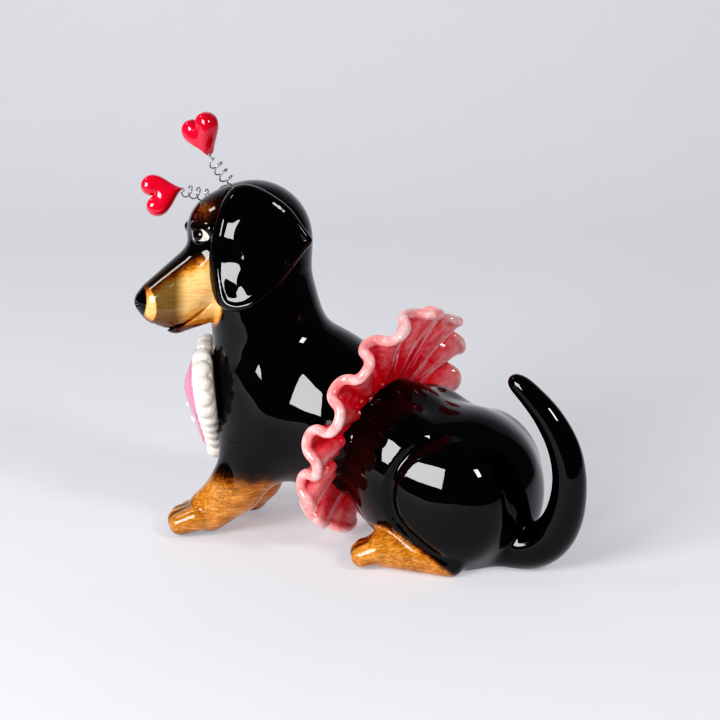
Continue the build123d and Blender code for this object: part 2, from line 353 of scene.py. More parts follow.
@dataclass(frozen=True)
class Carver:
    """Turns a sculpture into a mesh of even quads."""

    cell: float
    coarse: int = 4
    margin: float = 1.4
    batch: int = 300000

    def sample(self, clay: Clay, low: Array, high: Array) -> Array:
        """Measures distances on a grid, exactly near the surface and roughly elsewhere.

        Args:
            clay: the sculpture.
            low: the grid's lowest corner, in millimetres.
            high: its highest corner.

        Returns:
            The grid of distances.
        """
        block = self.cell * self.coarse
        count = np.ceil((high - low) / block).astype(int) + 1
        middle = 0.5 * self.cell * (self.coarse - 1)
        axes = [low[i] + np.arange(count[i]) * block + middle for i in range(3)]
        points = np.stack(np.meshgrid(*axes, indexing="ij"), -1).reshape(-1, 3)
        rough = clay.distance(points).reshape(count)
        fine = rough.repeat(self.coarse, 0).repeat(self.coarse, 1).repeat(self.coarse, 2)
        blocks = np.argwhere(np.abs(rough) < block * self.margin)
        offsets = np.stack(np.meshgrid(*[np.arange(self.coarse)] * 3, indexing="ij"), -1).reshape(-1, 3)
        cells = (blocks[:, None, :] * self.coarse + offsets).reshape(-1, 3)
        for part in np.array_split(cells, len(cells) // self.batch + 1):
            fine[tuple(part.T)] = clay.distance(low + part * self.cell)
        return fine

    def quads(self, grid: Array, low: Array) -> tuple[Array, Array]:
        """Finds the surface where a grid of distances crosses zero, by surface nets.

        Args:
            grid: distances at the grid's corners.
            low: the grid's lowest corner, in millimetres.

        Returns:
            Vertices in millimetres, and quads that face outwards.
        """
        inside = grid < 0
        size = np.array(grid.shape)
        corners = [np.array(c) for c in np.ndindex(2, 2, 2)]
        count = np.zeros(size - 1, np.int8)
        for c in corners:
            count += inside[c[0]:size[0] - 1 + c[0], c[1]:size[1] - 1 + c[1], c[2]:size[2] - 1 + c[2]]
        active = (count > 0) & (count < 8)
        cells = np.argwhere(active)
        ids = -np.ones(size - 1, np.int64)
        ids[active] = np.arange(len(cells))
        total, hits = np.zeros((len(cells), 3)), np.zeros(len(cells))
        for a in corners:
            for axis in range(3):
                if a[axis]:
                    continue
                b = a.copy()
                b[axis] = 1
                va, vb = grid[tuple((cells + a).T)], grid[tuple((cells + b).T)]
                cross = (va < 0) != (vb < 0)
                t = np.where(cross, va / np.where(cross, va - vb, 1), 0)
                total[cross] += (a + t[:, None] * (b - a))[cross]
                hits += cross
        vertices = low + (cells + total / hits[:, None]) * self.cell
        faces = []
        for axis in range(3):
            u, v = [i for i in range(3) if i != axis]
            first = [slice(1, size[i] - 1) for i in range(3)]
            second = list(first)
            first[axis], second[axis] = slice(0, size[axis] - 1), slice(1, size[axis])
            one, two = inside[tuple(first)], inside[tuple(second)]
            edges = np.argwhere(one != two)
            leaving = one[tuple(edges.T)]
            base = edges.copy()
            base[:, [u, v]] += 1
            ring = []
            for du, dv in ((1, 1), (0, 1), (0, 0), (1, 0)):
                near = base.copy()
                near[:, u] -= du
                near[:, v] -= dv
                ring.append(ids[tuple(near.T)])
            quad = np.stack(ring, 1)
            backwards = leaving if axis == 1 else ~leaving
            quad[backwards] = quad[backwards][:, ::-1]
            faces.append(quad)
        return vertices, np.concatenate(faces)

    def carve(self, clay: Clay, low: Sequence[float], high: Sequence[float]) -> tuple[Array, Array]:
        """Meshes the part of a sculpture that lies in a box.

        Args:
            clay: the sculpture.
            low: the box's lowest corner, in millimetres.
            high: its highest corner.

        Returns:
            Vertices in millimetres, and quads.
        """
        start = np.asarray(low, float)
        vertices, faces = self.quads(self.sample(clay, start, np.asarray(high, float)), start)
        return clay.settle(vertices), faces


@dataclass(frozen=True)
class Seam:
    """Where two castings meet: a plane, and a box that bounds the limb beyond it."""

    point: Array
    normal: Array
    low: Array
    high: Array

    @classmethod
    def at(cls, seat: Place, point: Triple, normal: Triple, low: Triple, high: Triple) -> "Seam":
        """A seam from places in the seat's frame."""
        direction = np.array(normal, float)
        return cls(seat.out(point), direction / np.linalg.norm(direction), seat.out(low), seat.out(high))

    def beyond(self, points: Array) -> Array:
        """Which points belong to the limb."""
        side = (points - self.point) @ self.normal > 1e-4
        return side & (points > self.low).all(1) & (points < self.high).all(1)


def split(vertices: Array, faces: Array, seams: Sequence[Seam],
          keep_limb: bool) -> tuple[Array, list[list[int]]]:
    """Cuts a mesh at seams and caps it.

    Args:
        vertices: points in millimetres.
        faces: quads.
        seams: the planes to cut at.
        keep_limb: keeps what lies beyond the first seam, instead of what lies before them all.

    Returns:
        The vertices and faces that are left, closed with a flat cap at each seam.
    """
    source = bpy.data.meshes.new("split")
    source.from_pydata(vertices.tolist(), [], faces.tolist())
    work = bmesh.new()
    work.from_mesh(source)
    bpy.data.meshes.remove(source)
    for seam in seams:
        bmesh.ops.bisect_plane(work, geom=work.verts[:] + work.edges[:] + work.faces[:], dist=1e-5,
                               plane_co=seam.point.tolist(), plane_no=seam.normal.tolist())
        centres = np.array([face.calc_center_median()[:] for face in work.faces])
        limb = seam.beyond(centres)
        gone = ~limb if keep_limb else limb
        doomed = [face for face, out in zip(work.faces, gone) if out]
        bmesh.ops.delete(work, geom=doomed, context="FACES")
    loose = [edge for edge in work.edges if edge.is_boundary]
    if loose:
        bmesh.ops.holes_fill(work, edges=loose, sides=0)
    work.verts.index_update()
    result = np.array([vertex.co[:] for vertex in work.verts])
    polygons = [[vertex.index for vertex in face.verts] for face in work.faces]
    work.free()
    return result, polygons


# ---------------------------------------------------------------- pieces
def plain_object(name: str, vertices: Array, faces: Sequence[Sequence[int]], normals: Array | None = None,
                 marks: dict[str, Array] | None = None) -> bpy.types.Object:
    """Makes a smooth mesh object at the origin from millimetres.

    Args:
        name: the piece's name.
        vertices: points in millimetres.
        faces: polygons.
        normals: a normal for each vertex, or None for the mesh's own.
        marks: numbers for each vertex, by attribute name.

    Returns:
        The object, linked to the scene.
    """
    mesh = bpy.data.meshes.new(name)
    mesh.from_pydata((np.asarray(vertices) * MM).tolist(), [], [list(map(int, face)) for face in faces])
    mesh.shade_smooth()
    for mark, values in (marks or {}).items():
        mesh.attributes.new(mark, "FLOAT", "POINT").data.foreach_set("value", np.asarray(values, np.float32))
    if normals is not None:
        mesh.normals_split_custom_set_from_vertices(normals.tolist())
    piece = bpy.data.objects.new(name, mesh)
    bpy.context.scene.collection.objects.link(piece)
    return piece


def settle_piece(piece: bpy.types.Object, material: bpy.types.Material, slot: str, body: str,
                 *nodes: str) -> None:
    """Gives a piece its finish and its body, and hides the nodes it stands for.

    Args:
        piece: the finished object.
        material: its finish.
        slot: the record's material slot; not used.
        body: the body it moves with.
        nodes: the design's nodes that it stands for.
    """
    piece.data.materials.clear()
    piece.data.materials.append(material)
    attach(piece, body)
    announce(piece, slot, *nodes)


def announce(piece: bpy.types.Object, slot: str, *nodes: str) -> None:
    """Hides the nodes that a piece stands for, and reports it."""
    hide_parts(*nodes)
    log.info("%s: %d faces, for %s", piece.name, len(piece.data.polygons), ", ".join(nodes))


def evaluated(piece: bpy.types.Object) -> bpy.types.Mesh:
    """A plain mesh of a piece with its modifiers applied."""
    graph = bpy.context.evaluated_depsgraph_get()
    finished = piece.evaluated_get(graph)
    return bpy.data.meshes.new_from_object(finished, preserve_all_data_layers=True, depsgraph=graph)


def unit(direction: Sequence[float] | Array) -> Array:
    """A direction of length one."""
    return np.asarray(direction, float) / np.linalg.norm(direction)


def mesh_points(mesh: bpy.types.Mesh) -> Array:
    """A mesh's vertices, one in each row."""
    return np.array([vertex.co[:] for vertex in mesh.vertices])


def place_points(mesh: bpy.types.Mesh, points: Array) -> None:
    """Moves a mesh's vertices to places in millimetres."""
    mesh.vertices.foreach_set("co", (points * MM).astype(np.float32).ravel())


def box_round(place: Place, low: Triple, high: Triple) -> tuple[Array, Array]:
    """Bounds a box that is given in a place's own frame.

    Args:
        place: the frame.
        low: one corner of the box in it.
        high: the opposite corner.

    Returns:
        The lowest and highest corners of an upright box that holds it.
    """
    corners = np.array([place.out(corner) for corner in product(*zip(low, high))])
    return corners.min(0), corners.max(0)


def centre_of(node: str) -> Array:
    """The middle of a node's box, in millimetres."""
    low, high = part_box(node)
    return (np.array(low) + np.array(high)) / 2 / MM


# ---------------------------------------------------------------- node trees
class Ink:
    """A number on its way through a node tree: arithmetic on it adds Math nodes."""

    def __init__(self, tree: "Tree", socket: bpy.types.NodeSocket) -> None:
        """Wraps a socket of a tree."""
        self.tree, self.socket = tree, socket

    def math(self, operation: str, *values: "Ink | float") -> "Ink":
        """Adds one Math node on these values."""
        return self.tree.out("ShaderNodeMath", {"operation": operation}, dict(enumerate(values)))

    def __add__(self, other: "Ink | float") -> "Ink":
        """Sum."""
        return self.math("ADD", self, other)

    def __sub__(self, other: "Ink | float") -> "Ink":
        """Difference."""
        return self.math("SUBTRACT", self, other)

    def __rsub__(self, other: float) -> "Ink":
        """Difference from a plain number."""
        return self.math("SUBTRACT", other, self)

    def __mul__(self, other: "Ink | float") -> "Ink":
        """Product."""
        return self.math("MULTIPLY", self, other)

    def __truediv__(self, other: "Ink | float") -> "Ink":
        """Quotient."""
        return self.math("DIVIDE", self, other)

    def __pow__(self, other: float) -> "Ink":
        """Power."""
        return self.math("POWER", self, other)

    __radd__, __rmul__ = __add__, __mul__

    def sine(self) -> "Ink":
        """Sine."""
        return self.math("SINE", self)

    def cosine(self) -> "Ink":
        """Cosine."""
        return self.math("COSINE", self)

    def ease(self, low: float, high: float) -> "Ink":
        """Rises smoothly from 0 to 1, or falls where low is the larger.

        Args:
            low: the value that gives 0.
            high: the value that gives 1.

        Returns:
            The eased number.
        """
        settings = {"interpolation_type": "SMOOTHSTEP", "clamp": True}
        ends = {"From Min": min(low, high), "From Max": max(low, high)}
        ends.update({"To Min": float(low > high), "To Max": float(low < high)})
        return self.tree.out("ShaderNodeMapRange", settings, {"Value": self, **ends})


class Tree:
    """Adds nodes to a node tree."""

    def __init__(self, tree: bpy.types.NodeTree) -> None:
        """Starts on an empty tree."""
        self.tree = tree
        tree.nodes.clear()

    def node(self, kind: str, settings: dict[str, Any] | None = None,
             inputs: dict[str | int, Any] | None = None) -> bpy.types.Node:
        """Adds a node.

        Args:
            kind: the node's type.
            settings: properties that are set first; "stops" are a ramp's positions and colours.
            inputs: values or links of its sockets, by name or number.

        Returns:
            The node.
        """
        made = self.tree.nodes.new(kind)
        for key, value in (settings or {}).items():
            if key == "stops":
                while len(made.color_ramp.elements) < len(value):
                    made.color_ramp.elements.new(0.5)
                for element, (position, colour) in zip(made.color_ramp.elements, value):
                    element.position, element.color = position, (*colour, 1.0)
            else:
                setattr(made, key, value)
        for key, value in (inputs or {}).items():
            socket = made.inputs[key]
            value = value.socket if isinstance(value, Ink) else value
            if isinstance(value, bpy.types.NodeSocket):
                self.tree.links.new(value, socket)
            else:
                socket.default_value = value
        return made

    def out(self, kind: str, settings: dict[str, Any] | None = None,
            inputs: dict[str | int, Any] | None = None, output: str | int = 0) -> Ink:
        """Adds a node and gives one of its outputs."""
        return Ink(self, self.node(kind, settings, inputs).outputs[output])

    def point(self, x: Ink | float = 0.0, y: Ink | float = 0.0, z: Ink | float = 0.0) -> Ink:
        """A vector from three numbers."""
        return self.out("ShaderNodeCombineXYZ", None, {0: x, 1: y, 2: z})

    def split_point(self, point: Ink) -> list[Ink]:
        """The three numbers of a vector."""
        node = self.node("ShaderNodeSeparateXYZ", None, {0: point})
        return [Ink(self, output) for output in node.outputs]


def linear(red: int, green: int, blue: int) -> Triple:
    """A paint colour from its everyday 0 to 255 numbers, in linear light."""
    parts = (value / 255 for value in (red, green, blue))
    return tuple(v / 12.92 if v <= 0.04045 else ((v + 0.055) / 1.055) ** 2.4 for v in parts)


class Recipe(Tree):
    """A material in the making."""

    def __init__(self, name: str) -> None:
        """Starts an empty material."""
        self.material = bpy.data.materials.new(name)
        self.material.use_nodes = True
        super().__init__(self.material.node_tree)
        self.object_point = self.out("ShaderNodeTexCoord", output="Object")

    def noise(self, scale: float, detail: float = 3.0, rough: float = 0.5, point: Ink | None = None,
              distortion: float = 0.0) -> Ink:
        """Adds cloudy variation from 0 to 1.

        Args:
            scale: how many clouds there are in a metre.
            detail: how many finer layers there are.
            rough: how strong the finer layers are.
            point: where it is looked up, or None for the object's own point.
            distortion: how much it swirls.

        Returns:
            The variation.
        """
        inputs = {"Vector": point or self.object_point, "Scale": scale, "Detail": detail, "Roughness": rough,
                  "Distortion": distortion}
        return self.out("ShaderNodeTexNoise", {"noise_dimensions": "3D"}, inputs)

    def stretched(self, place: Place, sizes: Triple) -> Ink:
        """Gives the object point in a place's own frame.

        Args:
            place: the frame.
            sizes: what each of its directions is divided by, in millimetres.

        Returns:
            The point.
        """
        moved = self.out("ShaderNodeVectorMath", {"operation": "SUBTRACT"},
                         {0: self.object_point, 1: tuple(place.origin * MM)})
        ways = [tuple(axis / (size * MM)) for axis, size in zip(place.axes, sizes)]
        parts = [self.out("ShaderNodeVectorMath", {"operation": "DOT_PRODUCT"}, {0: moved, 1: way}, "Value")
                 for way in ways]
        return self.out("ShaderNodeCombineXYZ", None, dict(enumerate(parts)))

    def mark(self, name: str) -> Ink:
        """A number stored on the mesh."""
        settings = {"attribute_type": "GEOMETRY", "attribute_name": name}
        return self.out("ShaderNodeAttribute", settings, None, "Fac")

    def mix(self, factor: Ink | float, first: Any, second: Any) -> Ink:
        """A colour between two colours."""
        colours = [(*c, 1.0) if isinstance(c, tuple) else c for c in (first, second)]
        return self.out("ShaderNodeMix", {"data_type": "RGBA", "clamp_factor": True},
                        {0: factor, 6: colours[0], 7: colours[1]}, 2)

    def bump(self, height: Ink, distance: float, strength: float = 1.0) -> Ink:
        """A surface relief; distance is in millimetres."""
        inputs = {"Height": height, "Distance": distance * MM, "Strength": strength}
        return self.out("ShaderNodeBump", None, inputs)

    def glaze(self, colour: Any, rough: Any, relief: Ink | None = None, **fixed: float) -> bpy.types.Material:
        """Closes the material with one shader.

        Args:
            colour: its base colour.
            rough: its roughness.
            relief: its bump, or None.
            fixed: other sockets that are the same all over, with underscores for spaces.

        Returns:
            The finished material.
        """
        base = (*colour, 1.0) if isinstance(colour, tuple) else colour
        inputs: dict[str, Any] = {"Base Color": base, "Roughness": rough}
        inputs.update({key.replace("_", " "): value for key, value in fixed.items()})
        if relief is not None:
            inputs["Normal"] = relief
        shader = self.node("ShaderNodeBsdfPrincipled", None, inputs)
        self.node("ShaderNodeOutputMaterial", None, {"Surface": shader.outputs[0]})
        return self.material


# ---------------------------------------------------------------- finishes
@dataclass(frozen=True)
class EyePaint:
    """Where one eye is painted, and how large."""

    place: Place
    half_width: float = 5.6
    half_height: float = 2.9
    iris: float = 3.2


@dataclass(frozen=True)
class DogGlaze:
    """Black and tan underglaze, brushed on, under a thick clear glaze, with painted shade carried in the tan.
    """

    head: Place
    eyes: tuple[EyePaint, ...]
    black: Triple = (0.0016, 0.0014, 0.0014)
    rough: float = 0.03
    tans: tuple[tuple[float, Triple], ...] = (
        (0.10, (0.0016, 0.0014, 0.0014)), (0.30, linear(58, 32, 13)), (0.48, linear(122, 72, 28)),
        (0.64, linear(200, 122, 50)), (0.80, linear(240, 170, 88)), (1.0, linear(252, 206, 132)))

    def eye(self, recipe: Recipe, colour: Ink, eye: EyePaint) -> Ink:
        """Paints one eye over a colour.

        Args:
            recipe: the material in the making.
            colour: what is under the eye.
            eye: where the eye is, and its size.

        Returns:
            The colour with the eye on it.
        """
        across, out, up = recipe.split_point(recipe.stretched(eye.place, (1.0, 1.0, 1.0)))
        front = out.ease(3.0, 1.0)
        bend = up + across * across * 0.022
        almond = (across / eye.half_width) ** 2.0 + (bend / eye.half_height) ** 2.0
        white = almond.ease(1.06, 0.90) * front
        lid = almond.ease(2.1, 1.5) * front
        ring = ((across + 1.0) * (across + 1.0) + (up - 0.3) * (up - 0.3)) ** 0.5
        iris = ring.ease(eye.iris + 0.2, eye.iris - 0.1) * almond.ease(1.3, 1.1) * front
        colour = recipe.mix(lid, colour, linear(16, 9, 6))
        colour = recipe.mix(white, colour, linear(232, 224, 212))
        return recipe.mix(iris, colour, linear(15, 9, 7))

    def material(self) -> bpy.types.Material:
        """Mixes the whole painted and glazed finish.

        Returns:
            The material.
        """
        recipe = Recipe("black_tan_glaze")
        # the mark read here holds the tan paint together with painted shade on the muzzle, jaw and paws
        tan = recipe.mark("tan")
        strokes = recipe.noise(1.0, 5.0, 0.62, recipe.stretched(self.head, (1.1, 11.0, 1.1)), 0.35)
        clouds = recipe.noise(95.0, 3.0, 0.55)
        touched = tan.ease(0.04, 0.34)
        shaded_tone = tan + ((strokes - 0.5) * 0.62 + (clouds - 0.5) * 0.34) * touched
        colour = recipe.out("ShaderNodeValToRGB", {"stops": list(self.tans)}, {0: shaded_tone})
        colour = recipe.mix(recipe.mark("dark"), colour, linear(30, 17, 9))
        for eye in self.eyes:
            colour = self.eye(recipe, colour, eye)
        waves = recipe.noise(30.0, 2.0, 0.4)
        ripples = recipe.noise(140.0, 1.0, 0.4)
        relief = recipe.bump(waves + ripples * 0.05, 0.9)
        rough = recipe.noise(60.0, 2.0) * 0.02 + self.rough
        return recipe.glaze(colour, rough, relief, IOR=1.5, Specular_IOR_Level=0.5)


@dataclass(frozen=True)
class SkirtGlaze:
    """Pink glaze, paler towards the ruffle's lip, with painted shade that deepens its folds and pales its
    ridges.
    """

    pale: Triple = linear(255, 222, 220)
    light: Triple = linear(255, 158, 156)
    middle: Triple = linear(255, 112, 118)
    deep: Triple = linear(246, 34, 62)

    def material(self) -> bpy.types.Material:
        """Mixes the whole finish.

        Returns:
            The material.
        """
        recipe = Recipe("skirt_glaze")
        reach, proud = recipe.mark("reach"), recipe.mark("proud")
        clouds = recipe.noise(85.0, 5.0, 0.62, distortion=0.9)
        runs = recipe.noise(330.0, 3.0, 0.6, distortion=0.5)
        # painted shade: the proud mark deepens the folds and pales the ridges
        shaded_tone = reach * 0.56 + proud * 0.26 + (clouds - 0.5) * 1.05 + (runs - 0.5) * 0.32 - 0.06
        stops = [(0.10, self.deep), (0.40, self.middle), (0.66, self.light), (0.92, self.pale)]
        colour = recipe.out("ShaderNodeValToRGB", {"stops": stops}, {0: shaded_tone})
        relief = recipe.bump(recipe.noise(150.0, 2.0), 0.7)
        return recipe.glaze(colour, recipe.noise(70.0) * 0.05 + 0.07, relief, IOR=1.5, Coat_Weight=0.4,
                            Coat_Roughness=0.04)


@dataclass(frozen=True)
class PlainGlaze:
    """One glaze colour that clouds a little and darkens where it is thick."""

    name: str
    colour: Triple
    thick: Triple
    rough: float = 0.07
    cloud_scale: float = 90.0

    def material(self) -> bpy.types.Material:
        """Mixes the whole finish.

        Returns:
            The material.
        """
        recipe = Recipe(self.name)
        clouds = recipe.noise(self.cloud_scale, 4.0, 0.6)
        colour = recipe.mix(clouds.ease(0.35, 0.75), self.colour, self.thick)
        relief = recipe.bump(recipe.noise(110.0, 2.0), 0.35)
        return recipe.glaze(colour, clouds * 0.04 + self.rough, relief, IOR=1.5, Coat_Weight=0.5,
                            Coat_Roughness=0.03)


@dataclass(frozen=True)
class SpringWire:
    """Drawn bright steel wire."""

    def material(self) -> bpy.types.Material:
        """Mixes the whole finish.

        Returns:
            The material.
        """
        recipe = Recipe("spring_wire")
        drawn = recipe.noise(1400.0, 3.0, 0.6)
        colour = recipe.mix(drawn, (0.42, 0.42, 0.44), (0.66, 0.66, 0.68))
        return recipe.glaze(colour, drawn * 0.14 + 0.16, None, Metallic=1.0)


@dataclass(frozen=True)
class ClearGlue:
    """A cured bead of clear epoxy with a few clouds in it."""

    def material(self) -> bpy.types.Material:
        """Mixes the whole finish.

        Returns:
            The material.
        """
        recipe = Recipe("clear_glue")
        clouds = recipe.noise(700.0, 3.0, 0.6)
        colour = recipe.mix(clouds, (0.80, 0.78, 0.73), (0.93, 0.92, 0.90))
        return recipe.glaze(colour, clouds * 0.08 + 0.05, recipe.bump(clouds, 0.08), IOR=1.53,
                            Transmission_Weight=0.85)


# ---------------------------------------------------------------- the dog
@dataclass
class DogSculpture:
    """The dog's whole body as one blended sculpture, from which each casting is cut.

    Sizes are millimetres, measured from the seat mount: left, back, up.
    """

    seat: Place
    head: Place
    neck_top: Triple = (8.0, -122.0, 128.0)
    paws: tuple[Triple, Triple] = ((32.5, -147.0, 9.5), (-5.0, -143.0, 9.5))

    def torso(self) -> list[Shape]:
        """Shapes the rump, waist, ribs, chest, neck, flanks and thighs.

        Returns:
            The volumes, in the order in which they blend.
        """
        at = self.seat
        shapes: list[Shape] = [
            at.lump((0, -18, 31), (41, 41, 41.5), 12),
            at.lump((0, -48, 45), (35, 30, 36), 14),
            at.lump((0, -90, 61), (34, 36, 38), 20, pitch=-25),
            at.lump((2, -90, 82), (25, 21, 23), 14),
            at.lump((5, -112, 70), (31, 29, 40), 16, pitch=20),
            at.lump((13, -121, 52), (19, 20, 25), 12),
            at.rod((5, -115, 88), self.neck_top, 29, 26, 14),
        ]
        for side in (1, -1):
            shapes.append(at.lump((side * 8, -78, 60), (27, 25, 33), 12))
            shapes.append(at.lump((side * 17 + 2, -110, 63), (18, 23, 30), 11))
            shapes.append(at.lump((side * 20, -40, 42), (21, 25.5, 33), 9))
            shapes.append(at.lump((side * 28, -14, 34), (15.5, 26, 29), 16))
        return shapes

    def creases(self, clay: Clay) -> None:
        """Cuts the fold in front of each thigh, down to the heel.

        Args:
            clay: the sculpture that takes them.
        """
        at = self.seat
        for side in (1, -1):
            fold = [(-6, 64), (-16, 64), (-25, 62), (-33, 54), (-37, 42), (-35, 29), (-26, 20), (-14, 12),
                    (-4, 5)]
            path = smooth_path([at.out((side * 40, y, z)) for y, z in fold], 3)
            clay.grooves.append(Groove(path, at.axes[0], 2.4, 2.0, at.out((side * 40, -20, 35)), 46, 26.0))

    def skull(self) -> list[Shape]:
        """Shapes the skull, brow, muzzle, lips and jaw, in the head's frame.

        Returns:
            The volumes, in the order in which they blend.
        """
        at = self.head
        return [
            at.lump((0, 1, 1), (26.5, 28.5, 28.5), 10),
            at.lump((0, -15, 7), (17.5, 16, 15.5), 12),
            at.rod((0, -22, -14), (0, -47, -26.5), 16.5, 11.0, 8),
            at.lump((0, -40, -30), (11.5, 15, 9.5), 6),
            at.rod((0, -20, -28), (0, -40, -36.2), 9.5, 6.8, 3),
            at.lump((0, -54.5, -26.5), (6.2, 4.8, 5.2), 3),
        ]

    def face(self, clay: Clay) -> None:
        """Presses eyes, lids, nostrils and mouth into the head.

        Args:
            clay: the sculpture that takes them.
        """
        at = self.head
        for side in (1, -1):
            clay.hollows.append(at.lump((side * 16.6, -31.4, 4.2), (6.6, 6.6, 4.4), 3.5))
            clay.details.append(at.lump((side * 8.4, -24.9, 3.7), (5.9, 5.9, 5.2), 1.0))
            clay.details.append(at.rod((side * 8.6, -29.4, 8.4), (side * 15.2, -23.2, 7.2), 2.3, 2.2, 3.5))
            clay.hollows.append(at.lump((side * 2.6, -59.2, -27.4), (1.3, 1.6, 1.1), 1.2))
            lips = [(-52, -37), (-49, -40), (-45, -40.6), (-37, -38.2), (-28.5, -32.6), (-23, -28.2)]
            path = np.array([at.out((side * 11, back, up)) for back, up in lips])
            clay.grooves.append(Groove(path, at.axes[0], 0.55, 0.9, at.out((side * 13, -38, -36)), 24))

    def feet(self) -> list[tuple[Place, float, float]]:
        """Sets out each foot's toes.

        Returns:
            For each foot, where its toes spread from, their radius and their reach.
        """
        at = self.seat
        left, right = self.paws
        front = [(at.moved((left[0], left[1], 0), 14), 6.6, 9.0),
                 (at.moved((right[0], right[1], 0), 2), 6.4, 9.0)]
        return front + [(at.moved((side * 35, -47, 0), side * 4), 6.0, 8.0) for side in (1, -1)]

    def legs(self) -> list[Shape]:
        """Shapes the forelegs and the hind feet, with their toes.

        Returns:
            The volumes, in the order in which they blend.
        """
        at = self.seat
        left, right = self.paws
        shapes: list[Shape] = [
            at.rod((15, -112, 54), (26, -125, 28), 19, 13.2, 12),
            at.rod((26, -128, 23), (left[0] - 2, left[1] + 7, 12.0), 12.4, 10.8, 8),
            at.rod((-6, -118, 54), (-3, -128, 24), 18, 12, 12),
            at.rod((-3, -130, 18), (right[0], right[1] + 8, 10.5), 11.2, 10, 8),
        ]
        for side in (1, -1):
            shapes.append(at.rod((side * 33, -10, 6), (side * 35, -42, 9.6), 6.5, 9.6, 4))
        for foot in self.feet():
            shapes += self.toes(*foot)
        return shapes

    def toes(self, foot: Place, radius: float, reach: float) -> list[Shape]:
        """Sets four toes side by side at the front of a foot.

        Args:
            foot: where they spread from.
            radius: how thick a toe is.
            reach: how far the middle ones stand forward.

        Returns:
            The toes.
        """
        shapes: list[Shape] = []
        for number in range(4):
            across = (number - 1.5) * radius * 0.86
            forward = -reach + abs(number - 1.5) * 2.4
            start, end = (across * 0.75, 3, radius + 3.4), (across, forward, radius + 0.4)
            shapes.append(foot.rod(start, end, radius, radius * 0.86, 1.2))
        return shapes

    def tail(self) -> list[Shape]:
        """Shapes the tail, from its root on the floor up to its fine tip.

        Returns:
            Short rods from root to tip.
        """
        at = self.seat
        spine = [(8, 8, 10, 11), (9, 23, 11.5, 10.3), (10, 33, 19, 9.3), (10.5, 38.8, 31.5, 8.3),
                 (10.5, 40.3, 47.5, 7.4), (10, 37, 62.5, 6.9), (10, 29, 76.5, 6.0), (10, 18.5, 87.5, 4.7),
                 (10, 12.5, 92.0, 3.4)]
        path = smooth_path(spine, 5)
        blends = [6.0] + [2.5] * (len(path) - 2)
        return [at.rod(a[:3], b[:3], a[3], b[3], blend) for a, b, blend in zip(path, path[1:], blends)]

    def clay(self) -> Clay:
        """Puts the whole sculpture together.

        Returns:
            The sculpture, standing on the floor.
        """
        clay = Clay(self.torso() + self.skull() + self.legs() + self.tail(), floor=0.0)
        self.face(clay)
        self.creases(clay)
        return clay

    def head_paint(self, points: Array) -> tuple[Array, Array]:
        """Finds the paint on the head, with painted shade on the muzzle.

        Args:
            points: places in millimetres.

        Returns:
            How much tan, darkened by painted shade low on the muzzle and jaw, and how much dark paint each
            point takes.
        """
        local = self.head.into(points)
        left, back, up = local.T
        muzzle = np.minimum.reduce([shape.distance(points) for shape in self.skull()[2:]])
        edge = np.interp(back, [-60, -52, -45, -35, -25, -15], [-22, -21.5, -16.5, -12.0, -8.5, -7])
        # painted shade: the muzzle's tan is lightest on top and darkens down its sides to the jaw
        shaded_tone = 0.95 - 0.24 * ease(up, -29, -38) - 0.20 * ease(up, -37, -41) + 0.08 * ease(up, -24, -17)
        tan = ease(edge - up, -9.0, 6.0) * shaded_tone * ease(muzzle, 5.0, 2.0) * ease(back, -15.0, -21.0)
        tan *= np.where(back < -30, 0.35 + 0.65 * ease(np.abs(left), 1.0, 7.0), 1.0)
        tan *= ease(np.linalg.norm((local - (0, -55.8, -26.2)) / (7.6, 6.8, 6.8), axis=1), 0.98, 1.14)
        patch = ((np.abs(left) - 11) / 8) ** 2 + ((back + 25) / 9) ** 2 + ((up - 16) / 8) ** 2
        brow = np.exp(-patch) * 0.44
        dark = np.zeros(len(points))
        for side in (1, -1):
            for x, y, z in ((10.8, -49.5, -33.0), (11.2, -46.0, -34.4), (10.2, -49.8, -36.0)):
                gap = np.linalg.norm(local - (side * x, y, z), axis=1)
                dark = np.maximum(dark, ease(gap, 1.1, 0.5))
        return np.maximum(tan, brow), dark

    def paint(self, points: Array) -> dict[str, Array]:
        """Finds the paint on the whole dog, with painted shade in its tan.

        Args:
            points: places in millimetres.

        Returns:
            How much tan, with its painted shade, and dark paint each point takes, by the attribute's name.
        """
        left, back, up = self.seat.into(points).T
        tan, dark = self.head_paint(points)
        on_head = ease(up, 92, 98)
        legs = ease(back, -98, -108) * ease(up, 42, 26) * 0.62
        # painted shade: the paws' tan darkens within 6 mm of the floor
        legs -= 0.20 * ease(up, 6.0, 1.5) * (legs > 0.3)
        sole = np.interp(back, [-60, -52, -40, -33, -18, -6], [20, 22, 22, 20.5, 12, 4])
        hind = ease(sole - up, -1.5, 2.5) * ease(back, -3, -9) * ease(back, -68, -64)
        hind *= ease(np.abs(left), 20, 25) * 0.62
        dark *= on_head
        for foot, radius, reach in self.feet():
            local = foot.into(points)
            near = np.linalg.norm(local * (1, 1, 0), axis=1) < 3 * radius
            gaps = [toe.distance(points[near]) for toe in self.toes(foot, radius, reach)]
            nearest, second = np.sort(np.stack(gaps), 0)[:2]
            crease = ease(second - nearest, 2.6, 0.4) * ease(local[near, 1], 3.0, -4.0) * (up[near] > 0.8)
            dark[near] = np.maximum(dark[near], crease * 0.85)
        return {"tan": np.maximum.reduce([tan * on_head, legs, hind]), "dark": dark}


@dataclass(frozen=True)
class Casting:
    """One piece cut from the dog's sculpture."""

    node: str
    low: Triple
    high: Triple
    cell: float
    limb: bool = True


